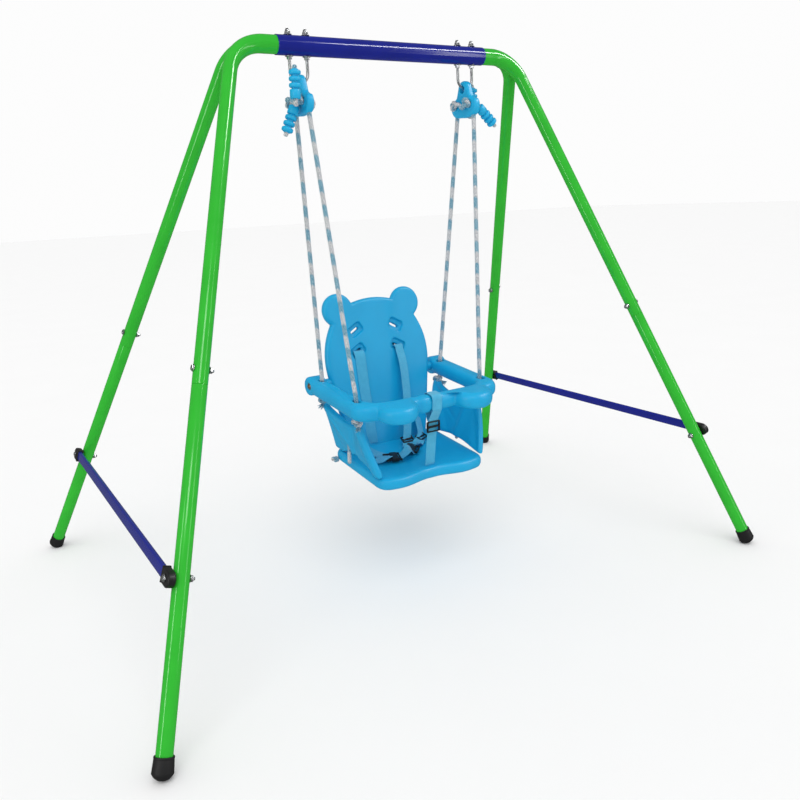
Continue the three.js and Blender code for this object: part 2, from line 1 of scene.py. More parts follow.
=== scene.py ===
"""The toddler swing set's looks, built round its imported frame.

Lengths are millimetres until build() or place() turns them into metres; materials, camera, lights and
floor are in metres from the start. The floor is z = 0, the crossbar runs along X and the child faces -Y.
The seat has its own tilted frame, from which SEAT places points.
"""
import math

import bmesh
import bpy
import numpy as np
from mathutils import Matrix, Vector


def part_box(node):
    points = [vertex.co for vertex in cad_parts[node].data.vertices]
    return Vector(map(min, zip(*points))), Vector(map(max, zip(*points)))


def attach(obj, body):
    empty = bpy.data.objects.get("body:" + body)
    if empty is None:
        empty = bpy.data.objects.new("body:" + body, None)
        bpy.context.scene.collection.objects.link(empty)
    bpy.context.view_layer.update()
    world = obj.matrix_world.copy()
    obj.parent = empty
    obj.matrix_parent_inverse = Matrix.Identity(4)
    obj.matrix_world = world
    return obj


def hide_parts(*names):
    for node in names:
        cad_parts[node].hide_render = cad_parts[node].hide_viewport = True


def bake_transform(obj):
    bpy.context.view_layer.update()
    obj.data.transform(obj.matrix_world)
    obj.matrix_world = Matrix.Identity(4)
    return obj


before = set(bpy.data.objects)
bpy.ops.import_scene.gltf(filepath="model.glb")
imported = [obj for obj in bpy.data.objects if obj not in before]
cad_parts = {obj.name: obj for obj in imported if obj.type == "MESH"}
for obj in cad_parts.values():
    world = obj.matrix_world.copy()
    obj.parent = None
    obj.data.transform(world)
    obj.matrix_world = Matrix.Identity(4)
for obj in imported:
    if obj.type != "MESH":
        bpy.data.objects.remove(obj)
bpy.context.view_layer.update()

SIDES = {"left": -1, "right": 1}
ENDS = {"front": -1, "rear": 1}
MM = Matrix.Scale(0.001, 4)


def vec(*values):
    return Vector(values)


X_AXIS, Y_AXIS, Z_AXIS = vec(1, 0, 0), vec(0, 1, 0), vec(0, 0, 1)


def box_mm(node):
    low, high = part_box(node)
    return low * 1000, high * 1000


# ---- Dimensions ----
SLEEVE_LOW, SLEEVE_HIGH = box_mm("crossbar_sleeve")
BAR_Y = (SLEEVE_LOW.y + SLEEVE_HIGH.y) / 2
BAR_Z = (SLEEVE_LOW.z + SLEEVE_HIGH.z) / 2
BAR_HALF = SLEEVE_HIGH.x
BAR_RADIUS = 19
APEX_X = 337
FOOT_X = 727
FOOT_Y = 540
STUB_RADIUS = 17.7
LEG_RADIUS = 14
TUBE_WALL = 1.4
STUB_END = 160
BEND_RADIUS = 80
BEND_STEPS = 28
SEAM_Z = 573
NECK_LENGTH = 60
JOINT_BOLT_Z = SEAM_Z + 25
FOOT_SETBACK = 24
BRACE_Z = 280
BRACE_HEIGHT = 22
BRACE_THICKNESS = 9
BRACE_OVERHANG = 13
BOLT_RADIUS = 3
U_BOLT_X = 203.5
U_BOLT_RADIUS = 19
PIVOT_Z = 1101
PLATE_THICKNESS = 16
PLATE_HOLE_X = 25
ROPE_RADIUS = 5
PLAITS = 8
PLAIT_PITCH = 7
ROPE_SPREAD = 30
ROPE_TOP_Z = 1054

SEAT = Matrix.Translation((0, BAR_Y, 462)) @ Matrix.Rotation(math.radians(5.5), 4, "X")
HOLE_X = 165
HOLE_Y = 82
GUARD_HEIGHT = 38
GUARD_WIDTH = 42
GUARD_DEPTH = 31
GUARD_REAR_Y = 132
GUARD_FRONT_Y = -147
GUARD_OUTER_X = HOLE_X + GUARD_WIDTH / 2 + 4
GUARD_INNER_X = GUARD_OUTER_X - GUARD_WIDTH
PAW_X = 99
PAW_RADIUS = 46
HINGE_Y = 103
HINGE_Z = -17
PAN_TOP = -172
PAN_THICKNESS = 28
BACK_TILT = math.radians(14.6)
BACK_FOOT_Y = 48
BACK_THICKNESS = 20
EAR_X, EAR_HEIGHT, EAR_RADIUS = 92, 330, 39
POCKET_X = 55
SLOT_HEIGHTS = (279, 229)
SLOT_TILT = math.radians(30)
WING_THICKNESS = 15
WING_TOP_X, WING_TOP_Z = 157, -60
WING_FOOT_X = 132
WING_ARCH = {"left": 42, "right": 22}
STRAP_WIDTH = 25
STRAP_THICKNESS = 2

# How bright the world is to the camera, in soft shading and in reflections.
WORLD_SEEN, WORLD_SOFT, WORLD_GLOSS = 0.98, 0.88, 0.16
SUN_STRENGTH = 0.9
TURN = 2 * math.pi
BAND_PITCH = 0.05  # metres of rope from one pale band to the next

# The backrest's own frame: X across, Y up its front face, Z forward out of it.
BACK = SEAT @ Matrix.Translation((0, BACK_FOOT_Y, PAN_TOP)) @ Matrix.Rotation(math.pi / 2 - BACK_TILT, 4, "X")


def seat_point(x, y, z):
    return SEAT @ vec(x, y, z)


# ---- Camera ----
def add_camera():
    yaw, pitch, roll = (math.radians(a) for a in (30.683, -14.417, -2.791))
    forward = vec(math.sin(yaw) * math.cos(pitch), math.cos(yaw) * math.cos(pitch), math.sin(pitch))
    right = vec(math.cos(yaw), -math.sin(yaw), 0)
    up = right.cross(forward)
    right_rolled = right * math.cos(roll) + up * math.sin(roll)
    up_rolled = up * math.cos(roll) - right * math.sin(roll)
    data = bpy.data.cameras.new("camera")
    data.lens = 35.32
    camera = bpy.data.objects.new("camera", data)
    columns = Matrix((right_rolled, up_rolled, -forward)).transposed()
    camera.matrix_world = Matrix.Translation((-0.9157, -1.6468, 0.8691)) @ columns.to_4x4()
    bpy.context.scene.collection.objects.link(camera)
    bpy.context.scene.camera = camera


# ---- Materials ----
class Field:
    """A number worked out by a material's nodes, with arithmetic that adds the nodes for it."""

    def __init__(self, tree, socket):
        self.tree, self.socket = tree, socket

    def op(self, operation, *others, clamp=False):
        node = self.tree.nodes.new("ShaderNodeMath")
        node.operation = operation
        node.use_clamp = clamp
        self.tree.links.new(self.socket, node.inputs[0])
        for slot, other in zip(node.inputs[1:], others):
            if isinstance(other, Field):
                self.tree.links.new(other.socket, slot)
            else:
                slot.default_value = other
        return Field(self.tree, node.outputs[0])

    def __add__(self, other):
        return self.op("ADD", other)

    def __sub__(self, other):
        return self.op("SUBTRACT", other)

    def __mul__(self, other):
        return self.op("MULTIPLY", other)

    def above(self, edge, softness):
        """0 below the edge and 1 above it, with a soft step between."""
        return ((self - edge) * (1 / softness) + 0.5).op("ADD", 0, clamp=True)


class Surface:
    """A material under construction: its node tree, its shader and its coordinates."""

    def __init__(self, name, **constants):
        self.material = bpy.data.materials.new(name)
        self.material.use_nodes = True
        self.tree = self.material.node_tree
        self.shader = self.tree.nodes["Principled BSDF"]
        self.place = self.tree.nodes.new("ShaderNodeTexCoord")
        for socket, value in constants.items():
            self.shader.inputs[socket.replace("_", " ")].default_value = value

    def node(self, kind, **inputs):
        """A new node, its inputs set to numbers or linked to other nodes' sockets."""
        node = self.tree.nodes.new("ShaderNode" + kind)
        for name, value in inputs.items():
            if isinstance(value, bpy.types.NodeSocket):
                self.tree.links.new(value, node.inputs[name])
            else:
                node.inputs[name].default_value = value
        return node

    def noise(self, scale, detail=2, stretch=None):
        source = self.place.outputs["Object"]
        if stretch:
            source = self.node("Mapping", Vector=source, Scale=stretch).outputs[0]
        node = self.node("TexNoise", Vector=source, Scale=scale, Detail=detail)
        return Field(self.tree, node.outputs["Fac"])

    def speckle(self, scale):
        node = self.node("TexVoronoi", Vector=self.place.outputs["Object"], Scale=scale)
        return Field(self.tree, node.outputs["Distance"])

    def uv(self):
        split = self.node("SeparateXYZ", Vector=self.place.outputs["UV"])
        return Field(self.tree, split.outputs["X"]), Field(self.tree, split.outputs["Y"])

    def mix(self, factor, first, second):
        """A blend of two colours, each an (r, g, b) or another blend, from `first` at 0 to `second` at 1."""
        node = self.node("Mix", Factor=factor.socket)
        node.data_type = "RGBA"
        for name, value in (("A", first), ("B", second)):
            socket = next(s for s in node.inputs if s.name == name and s.type == "RGBA")
            if isinstance(value, tuple):
                socket.default_value = (*value, 1)
            else:
                self.tree.links.new(value, socket)
        return next(s for s in node.outputs if s.type == "RGBA")

    def color(self, socket):
        self.tree.links.new(socket, self.shader.inputs["Base Color"])

    def roughness(self, field, low, high):
        self.tree.links.new((field * (high - low) + low).socket, self.shader.inputs["Roughness"])

    def bump(self, field, height):
        """Raises the surface by up to `height` metres."""
        node = self.node("Bump", Strength=1, Distance=height, Height=field.socket)
        self.tree.links.new(node.outputs[0], self.shader.inputs["Normal"])


def paint(name, base, deep):
    """Glossy powder coat: a faint orange peel and a slow drift in the film's depth."""
    surface = Surface(name, Coat_Weight=0.2, Coat_Roughness=0.05, IOR=1.45)
    drift = surface.noise(14, 3)
    surface.color(surface.mix(drift.above(0.5, 0.5), deep, base))
    surface.roughness(surface.noise(60, 4), 0.10, 0.20)
    surface.bump(surface.noise(350, 1), 0.000025)
    return surface.material


def zinc(name, bright, dull):
    surface = Surface(name, Metallic=1.0)
    surface.color(surface.mix(surface.noise(220, 5), dull, bright))
    surface.roughness(surface.noise(500, 3), 0.14, 0.42)
    surface.bump(surface.noise(900, 2), 0.00006)
    return surface.material


def moulding(name, base, deep, low, high, **constants):
    """Moulded plastic or rubber: a fine spark-eroded grain with slow flow marks."""
    surface = Surface(name, **constants)
    flow = surface.noise(11, 4, stretch=(1, 1, 0.6))
    surface.color(surface.mix(flow.above(0.5, 0.45), deep, base))
    grain = surface.speckle(1500)
    surface.roughness(surface.noise(80, 3) * 0.7 + grain * 0.3, low, high)
    surface.bump(grain + surface.noise(160, 2) * 2, 0.00005)
    return surface.material


def braid(name):
    """Braided cord in bands: pale blue flecked with white, then white flecked with grey."""
    surface = Surface(name, Sheen_Weight=0.2, Sheen_Roughness=0.5)
    around, along = surface.uv()
    plaits = (around * (PLAITS * TURN)).op("COSINE") * (along * (TURN / 0.001 / PLAIT_PITCH)).op("COSINE")
    fleck = (plaits * 0.22 + surface.noise(420, 3)).above(0.55, 0.22)
    skew = (around * TURN).op("COSINE") * 0.7
    band = (along * (TURN / BAND_PITCH) + skew).op("SINE").above(0.05, 0.45)
    blue = surface.mix(fleck, (0.055, 0.25, 0.38), (0.42, 0.60, 0.68))
    white = surface.mix(fleck, (0.40, 0.42, 0.45), (0.84, 0.84, 0.84))
    surface.color(surface.mix(band, white, blue))
    surface.roughness(surface.noise(600, 2), 0.55, 0.85)
    fibre = (around * (56 * TURN) + along * (TURN / 0.0016)).op("SINE")
    surface.bump(fibre * 0.4 + surface.noise(1400, 2), 0.00018)
    return surface.material


def weave(name, base, deep):
    """Flat webbing: ribs along the strap crossed by picks, with firm edges."""
    surface = Surface(name, Sheen_Weight=0.3, Sheen_Roughness=0.4)
    across, along = surface.uv()
    ribs = (across * (TURN / 0.0021)).op("SINE")
    picks = (along * (TURN / 0.0014) + ribs.op("SIGN") * (math.pi / 2)).op("SINE")
    cloth = ribs * 0.5 + picks * 0.5
    surface.color(surface.mix((cloth * 0.35 + surface.noise(90, 3)).op("ADD", 0, clamp=True), deep, base))
    surface.roughness(surface.noise(400, 2), 0.6, 0.85)
    surface.bump(cloth + surface.noise(2500, 1), 0.00022)
    return surface.material


def make_materials():
    sky, sky_deep = (0.006, 0.40, 0.72), (0.004, 0.35, 0.65)
    milky = {"Specular_IOR_Level": 0.35, "Subsurface_Weight": 0.06}
    return {
        "green_paint": paint("green_powder_coat", (0.034, 0.50, 0.034), (0.026, 0.43, 0.028)),
        "blue_paint": paint("blue_powder_coat", (0.006, 0.014, 0.26), (0.005, 0.011, 0.21)),
        "zinc_steel": zinc("zinc_plate", (0.80, 0.81, 0.82), (0.55, 0.56, 0.58)),
        "brass_zinc": zinc("yellow_zinc_plate", (0.85, 0.50, 0.28), (0.60, 0.33, 0.18)),
        "black_rubber": moulding("black_rubber", (0.012, 0.012, 0.013), (0.007, 0.007, 0.008), 0.45, 0.7),
        "black_plastic": moulding("black_cap_plastic", (0.014, 0.014, 0.016), (0.009, 0.009, 0.01), 0.3, 0.5),
        "small_plastic": moulding("sky_fitting_plastic", (0.012, 0.44, 0.75), sky, 0.25, 0.42,
                                  Subsurface_Scale=0.004, **milky),
        "seat_plastic": moulding("sky_seat_plastic", sky, sky_deep, 0.26, 0.44,
                                 Subsurface_Scale=0.006, **milky),
        "rope": braid("braided_rope"),
        "webbing": weave("sky_webbing", (0.07, 0.50, 0.76), (0.035, 0.38, 0.64)),
        "buckle": moulding("black_buckle_plastic", (0.010, 0.010, 0.012), (0.006, 0.006, 0.007), 0.28, 0.5),
    }


# ---- Mesh making ----
def build(name, verts, faces, corners, matrix):
    """A new object from points placed by `matrix`, with a UV pair for each face corner where given."""
    mesh = bpy.data.meshes.new(name)
    mesh.from_pydata([tuple(matrix @ Vector(v)) for v in verts], [], faces)
    if corners is not None:
        layer = mesh.uv_layers.new(name="UVMap")
        layer.data.foreach_set("uv", np.array(corners, np.float32).ravel())
    mesh.validate()
    obj = bpy.data.objects.new(name, mesh)
    bpy.context.scene.collection.objects.link(obj)
    fix = bmesh.new()
    fix.from_mesh(mesh)
    bmesh.ops.recalc_face_normals(fix, faces=fix.faces)
    fix.to_mesh(mesh)
    fix.free()
    return obj


def modify(obj, kind, **settings):
    """Adds one modifier and applies it at once."""
    modifier = obj.modifiers.new(kind.lower(), kind)
    for key, value in settings.items():
        setattr(modifier, key, value)
    depsgraph = bpy.context.evaluated_depsgraph_get()
    baked = bpy.data.meshes.new_from_object(obj.evaluated_get(depsgraph))
    obj.modifiers.clear()
    old = obj.data
    obj.data = baked
    bpy.data.meshes.remove(old)


def smooth_shade(obj, angle=40):
    for polygon in obj.data.polygons:
        polygon.use_smooth = True
    obj.data.set_sharp_from_angle(angle=math.radians(angle))
    return obj


def discard(obj):
    mesh = obj.data
    bpy.data.objects.remove(obj)
    bpy.data.meshes.remove(mesh)


def join(name, parts):
    """One object from several, whose meshes are already in place."""
    merged = bmesh.new()
    for part in parts:
        merged.from_mesh(part.data)
    mesh = bpy.data.meshes.new(name)
    merged.to_mesh(mesh)
    merged.free()
    for part in parts:
        discard(part)
    obj = bpy.data.objects.new(name, mesh)
    bpy.context.scene.collection.objects.link(obj)
    return obj


def subtract(obj, cutters, solver="EXACT"):
    """Cuts solids out of an object and deletes them."""
    for tool in cutters:
        modify(obj, "BOOLEAN", operation="DIFFERENCE", solver=solver, object=tool)
        discard(tool)


def soften(obj, voxel, rounds):
    """Remeshes a rough solid evenly, in millimetres, and relaxes it into one soft moulding."""
    modify(obj, "REMESH", mode="VOXEL", voxel_size=voxel)
    modify(obj, "SMOOTH", factor=0.5, iterations=rounds)


def place(obj, matrix):
    """Moves a mesh that was made in plain millimetres to its place, in metres."""
    obj.data.transform(MM @ matrix)
    return obj


LOCAL = Matrix.Identity(4)


def skin(rings, closed_path=False):
    """Faces over a row of rings of equal length, and UV pairs: u once round, v in metres along."""
    count, total = len(rings[0]), len(rings)
    lengths = [0.0]
    for a, b in zip(rings, rings[1:]):
        lengths.append(lengths[-1] + (Vector(b[0]) - Vector(a[0])).length * 0.001)
    faces, corners = [], []
    for i in range(total if closed_path else total - 1):
        k = (i + 1) % total
        v0, v1 = lengths[i], lengths[k] if k else lengths[i] + lengths[1]
        for j in range(count):
            m = (j + 1) % count
            faces.append((i * count + j, i * count + m, k * count + m, k * count + j))
            u0, u1 = j / count, (j + 1) / count
            corners += [(u0, v0), (u1, v0), (u1, v1), (u0, v1)]
    if not closed_path:
        faces.append(tuple(range(count - 1, -1, -1)))
        corners += [(0.0, lengths[0])] * count
        faces.append(tuple(range((total - 1) * count, total * count)))
        corners += [(0.0, lengths[-1])] * count
    return [v for ring in rings for v in ring], faces, corners


def frames_along(path, up=None, closed=False):
    """(point, across, lift) at each point of a path. Without `up`, the section turns as little as it can."""
    count = len(path)
    result, across = [], None
    for i, point in enumerate(path):
        before = path[i - 1] if i or closed else point
        after = path[(i + 1) % count] if i + 1 < count or closed else point
        tangent = (after - before).normalized()
        if up is not None:
            across = up.cross(tangent).normalized()
        elif across is None:
            across = tangent.orthogonal().normalized()
        else:
            across = (across - tangent * across.dot(tangent)).normalized()
        result.append((point, across, tangent.cross(across)))
    return result


def smooth_path(points, step, closed=False):
    """An even row of points, `step` apart, on a Catmull-Rom curve through `points`."""
    count = len(points)
    dense = []
    for i in range(count if closed else count - 1):
        near = range(i - 1, i + 3)
        p = [points[k % count] if closed else points[min(max(k, 0), count - 1)] for k in near]
        for t in (k / 24 for k in range(24)):
            dense.append(0.5 * (2 * p[1] + (p[2] - p[0]) * t + (2 * p[0] - 5 * p[1] + 4 * p[2] - p[3]) * t * t
                                + (3 * p[1] - p[0] - 3 * p[2] + p[3]) * t ** 3))
    dense.append(points[0] if closed else points[-1])
    length = [0.0]
    for a, b in zip(dense, dense[1:]):
        length.append(length[-1] + (b - a).length)
    total = max(2, round(length[-1] / step))
    even, j = [], 0
    for i in range(total if closed else total + 1):
        target = length[-1] * i / total
        while j < len(length) - 2 and length[j + 1] < target:
            j += 1
        share = (target - length[j]) / max(length[j + 1] - length[j], 1e-9)
        even.append(dense[j].lerp(dense[j + 1], share))
    return even


def rounded(corners, radius, steps):
    """A line through `corners` with each inner corner rounded."""
    path = [corners[0]]
    for i in range(1, len(corners) - 1):
        inward = (corners[i] - corners[i - 1]).normalized()
        onward = (corners[i + 1] - corners[i]).normalized()
        turn = inward.angle(onward)
        start = corners[i] - inward * radius * math.tan(turn / 2)
        to_centre = (onward - inward * onward.dot(inward)).normalized()
        for k in range(steps + 1):
            angle = turn * k / steps
            reach = inward * math.sin(angle) + to_centre * (1 - math.cos(angle))
            path.append(start + reach * radius)
    path.append(corners[-1])
    return path


def circle(radius, sides):
    return [(radius * math.cos(TURN * j / sides), radius * math.sin(TURN * j / sides))
            for j in range(sides)]


def sweep(name, path, section_at, up=None, closed=False, matrix=MM):
    """Skins sections along a path. section_at(i) gives the (across, lift) pairs of ring i."""
    rings = []
    for i, (point, across, lift) in enumerate(frames_along(path, up, closed)):
        rings.append([point + across * a + lift * b for a, b in section_at(i)])
    return build(name, *skin(rings, closed), matrix)


def pipe(name, path, radius_at, wall, sides):
    """A hollow tube with slightly rounded rims."""
    lip = 0.35
    frames = frames_along(path)
    last = len(path) - 1

    def ring(i, inset, slide=0.0):
        point, across, lift = frames[i]
        point = point + across.cross(lift) * slide
        return [point + across * a + lift * b for a, b in circle(radius_at(i) - inset, sides)]

    outer = [ring(0, lip), ring(0, 0, lip)] + [ring(i, 0) for i in range(1, last)]
    outer += [ring(last, 0, -lip), ring(last, lip)]
    inner = [ring(i, wall) for i in range(last, -1, -1)]
    return build(name, *skin(outer + inner, True), MM)


def turned(name, profile, origin, axis, sides=40, matrix=MM, radius_rule=None):
    """A lathed piece. `profile` holds (radius, distance) pairs, the distance along `axis` from `origin`."""
    turn = Z_AXIS.rotation_difference(axis.normalized()).to_matrix()
    rings = []
    for radius, distance in profile:
        ring = []
        for j in range(sides):
            angle = TURN * j / sides
            r = radius_rule(radius, angle) if radius_rule else radius
            ring.append(origin + turn @ vec(r * math.cos(angle), r * math.sin(angle), distance))
        rings.append(ring)
    closed = profile[0] == profile[-1]
    if closed:
        rings = rings[:-1]
    return build(name, *skin(rings, closed), matrix)


def hexagon(apothem, height, origin, axis, bore=0.0, dome=0.0):
    """A chamfered hexagonal nut or head, with a bore, or a dome on its far end."""
    def rule(level, angle):
        """A positive level is a share of the apothem, cut by the flats; a negative one is a plain radius."""
        if level < 0:
            return -level
        across = apothem / math.cos((angle + math.pi / 6) % (math.pi / 3) - math.pi / 6)
        return min(across, apothem * level)

    profile = [(1.03, 0), (1.2, height * 0.14), (1.2, height * 0.86), (1.03, height)]
    if dome:
        for k in range(9):
            angle = k * math.pi / 16
            profile.append((-apothem * 0.93 * math.cos(angle) - 0.01, height + dome * math.sin(angle)))
    if bore:
        profile += [(-bore, height), (-bore, 0), profile[0]]
    return turned("part", profile, origin, axis, 48, radius_rule=rule)


def thread(turns):
    """The profile of a threaded end with a pitch of 1 mm, up to its chamfered tip."""
    profile = []
    for at in range(turns):
        profile += [(BOLT_RADIUS, at), (BOLT_RADIUS - 0.35, at + 0.5)]
    return profile + [(BOLT_RADIUS, turns - 0.2), (BOLT_RADIUS * 0.72, turns + 0.8), (0.01, turns + 0.8)]


def washer_profile(bore, radius, thickness):
    chamfer = 0.3
    profile = [(bore, 0), (radius - chamfer, 0), (radius, chamfer), (radius, thickness - chamfer)]
    return profile + [(radius - chamfer, thickness), (bore, thickness), profile[0]]


def screw(name, head, axis, grip):
    """A domed hex bolt with two washers and a nut, its head's seat at `head`, through `grip`."""
    washer = [(BOLT_RADIUS + 0.2, 0), (6.6, 0), (6.8, 0.3), (6.8, 0.9), (6.6, 1.1), (BOLT_RADIUS + 0.2, 1.1)]
    washer.append(washer[0])
    shank = [(0.01, -1), (BOLT_RADIUS, -1), (BOLT_RADIUS, grip)]
    shank += [(radius, grip + at) for radius, at in thread(8)]
    parts = [
        turned("part", washer, head - axis * 0.3, -axis),
        hexagon(4.9, 2.4, head - axis * 1.1, -axis, dome=0.9),
        turned("part", shank, head, axis),
        turned("part", washer, head + axis * (grip - 0.1), axis),
        hexagon(4.9, 4.4, head + axis * (grip + 1.0), axis, bore=BOLT_RADIUS - 0.3),
    ]
    return smooth_shade(join(name, parts), 30)


def inset_outline(outline, amount):
    """The outline moved inwards, its points along the mean normals of their two edges."""
    count = len(outline)
    area = sum(outline[i - 1][0] * outline[i][1] - outline[i][0] * outline[i - 1][1] for i in range(count))
    sign = 1 if area > 0 else -1
    result = []
    for i in range(count):
        (ax, ay), (bx, by), (cx, cy) = outline[i - 1], outline[i], outline[(i + 1) % count]
        first = vec(ay - by, bx - ax).normalized()
        second = vec(by - cy, cx - bx).normalized()
        normal = first + second
        normal /= max(normal.length_squared / 2, 0.25)
        result.append((bx + sign * normal.x * amount, by + sign * normal.y * amount))
    return result


def slab(name, outline, low, high, bevel, steps=6):
    """A flat outline made solid between two heights, with round edges. It stays in plain millimetres."""
    levels = []
    for k in range(steps + 1):
        angle = math.pi / 2 * (1 - k / steps)
        levels.append((bevel * (1 - math.cos(angle)), low + bevel * (1 - math.sin(angle))))
    levels += [(inset, low + high - z) for inset, z in reversed(levels)]
    rings = [[(x, y, z) for x, y in inset_outline(outline, inset)] for inset, z in levels]
    verts, faces = skin(rings)[:2]
    return build(name, verts, faces, None, LOCAL)


def arc(cx, cy, radius, start, end, steps=12):
    """Points on an arc, its angles in degrees."""
    angles = [math.radians(start + (end - start) * k / steps) for k in range(steps + 1)]
    return [(cx + radius * math.cos(angle), cy + radius * math.sin(angle)) for angle in angles]


def rounded_box_section(half_a, half_b, radius, steps=4):
    """A rectangle round the origin with rounded corners."""
    pairs = []
    for sa, sb, start in ((1, 1, 0), (-1, 1, 90), (-1, -1, 180), (1, -1, 270)):
        pairs += arc(sa * (half_a - radius), sb * (half_b - radius), radius, start, start + 90, steps)
    return pairs


def shifted(pairs, dx, dy):
    return [(x + dx, y + dy) for x, y in pairs]


def disc(x, y, radius, sides=36):
    return shifted(circle(radius, sides), x, y)


def bezier(points, steps=10):
    """Points on a Bezier curve of any degree, without its last one."""
    result = []
    for k in range(steps):
        row, t = [Vector(p) for p in points], k / steps
        while len(row) > 1:
            row = [a.lerp(b, t) for a, b in zip(row, row[1:])]
        result.append(tuple(row[0]))
    return result


def mirrored(half):
    """A closed outline from its right half, which runs from the middle line to the middle line."""
    return half + [(-x, y) for x, y in reversed(half) if x > 1e-6]


def finish_piece(obj, body, slot, replaces=(), material=None):
    """Gives a piece the material of its slot, or the one named, attaches it to its body and hides the nodes
    it stands for.
    """
    obj.data.materials.clear()
    obj.data.materials.append(MATERIALS[material or slot])
    if body:
        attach(obj, body)
    if replaces:
        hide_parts(*replaces)
    return obj


# ---- Ropes ----
def rope(name, path, radius=ROPE_RADIUS, closed=False):
    """A braided rope: plaits stand up in a staggered lattice round the cord."""
    step = 1.2
    points = smooth_path(path, step, closed)
    sides = 32
    height = radius * 0.06

    def section(i):
        along = math.cos(TURN * i * step / PLAIT_PITCH)
        taper = 1.0 if closed else min(1.0, 0.72 + 0.14 * min(i, len(points) - 1 - i))
        pairs = []
        for j in range(sides):
            angle = TURN * j / sides
            r = (radius - height + height * math.cos(PLAITS * angle) * along) * taper
            pairs.append((r * math.cos(angle), r * math.sin(angle)))
        return pairs

    return smooth_shade(sweep(name, points, section, closed=closed), 180)


def rope_path(side, end):
    return [
        vec(side * U_BOLT_X, BAR_Y + end * ROPE_SPREAD, ROPE_TOP_Z),
        seat_point(side * HOLE_X, end * HOLE_Y, 2),
        seat_point(side * (HOLE_X - 1), end * HOLE_Y, -GUARD_HEIGHT - 2),
        seat_point(side * wing_x(-70), end * HOLE_Y, -70),
    ]


def wing_x(z):
    return WING_TOP_X + (z - WING_TOP_Z) * (WING_TOP_X - WING_FOOT_X) / (WING_TOP_Z - PAN_TOP)


def add_ropes():
    for side_name, side in SIDES.items():
        for end_name, end in ENDS.items():
            corners = rope_path(side, end)
            path = [corners[0].lerp(corners[1], k / 12) for k in range(13)]
            path += [corners[2], corners[2].lerp(corners[3], 0.5), corners[3]]
            cord = rope(f"braided_rope_{end_name}_{side_name}", path)
            finish_piece(cord, "swing", "rope", (f"rope_{end_name}_{side_name}",))
            metres = [tuple(p * 0.001) for p in path]
            length = sum((b - a).length for a, b in zip(path, path[1:])) * 0.001


def knot(name, centre, axis, size=1.0):
    """A pulled-tight overhand knot, whose cord follows a trefoil."""
    turn = Z_AXIS.rotation_difference(axis.normalized()).to_matrix()
    path = []
    for k in range(36):
        t = TURN * k / 36
        x, y = math.sin(t) + 2 * math.sin(2 * t), math.cos(t) - 2 * math.cos(2 * t)
        path.append(centre + turn @ (vec(x, y, -1.25 * math.sin(3 * t)) * 3.3 * size))
    finish_piece(rope(name, path, 4.0 * size, closed=True), "swing", "rope")


MATERIALS = make_materials()
add_camera()
add_ropes()


# ---- A-frame ----
def leg_direction(side, end):
    return (vec(side * FOOT_X, end * FOOT_Y, 0) - vec(side * APEX_X, BAR_Y, BAR_Z)).normalized()


def leg_point(side, end, z):
    direction = leg_direction(side, end)
    return vec(side * APEX_X, BAR_Y, BAR_Z) + direction * ((z - BAR_Z) / direction.z)


def outward(side):
    """The normal of the leaning plane that a pair of legs stands in."""
    normal = leg_direction(side, -1).cross(leg_direction(side, 1)).normalized()
    return normal if normal.x * side > 0 else -normal


def corner_path(side, end, foot=SEAM_Z):
    """From the stub in the sleeve, round the bend and down to the height `foot`."""
    stub, apex = (vec(side * x, BAR_Y, BAR_Z) for x in (STUB_END, APEX_X))
    return rounded([stub, apex, leg_point(side, end, foot)], BEND_RADIUS, BEND_STEPS)


def corner_radius(share):
    """The corner tube's radius at a share of its bend."""
    return STUB_RADIUS + (LEG_RADIUS - STUB_RADIUS) * min(max(share, 0), 1)


def add_crossbar():
    path = [vec(x, BAR_Y, BAR_Z) for x in (-BAR_HALF, -BAR_HALF / 2, BAR_HALF / 2, BAR_HALF)]
    tube = smooth_shade(pipe("crossbar_tube", path, lambda i: BAR_RADIUS, 1.0, 72))
    finish_piece(tube, "frame", "blue_paint", ("crossbar_sleeve",))


def weld_bead(side_name, side):
    """The bead where the rear tube's surface comes out of the corner tube."""
    bend = smooth_path(corner_path(side, -1)[1:-1], 2.0)
    spine = bend + [leg_point(side, -1, z) for z in range(1100, 900, -4)]
    rear = frames_along(smooth_path(corner_path(side, 1, foot=900), 1.0), Y_AXIS)
    bead = []
    for a, b in circle(LEG_RADIUS, 40):
        inside = []
        for point, across, lift in rear:
            spot = point + across * a + lift * b
            nearest = min(range(len(spine)), key=lambda k: (spine[k] - spot).length_squared)
            if (spine[nearest] - spot).length < corner_radius(nearest / (len(bend) - 1)):
                inside.append(spot)
        bead += inside[-1:]
    path = smooth_path(bead, 1.5, closed=True)
    ripple = [1.9 + 0.25 * math.sin(i * 1.7) for i in range(len(path))]
    obj = sweep(f"weld_bead_{side_name}", path, lambda i: circle(ripple[i], 10), closed=True)
    finish_piece(smooth_shade(obj, 180), "frame", "green_paint")


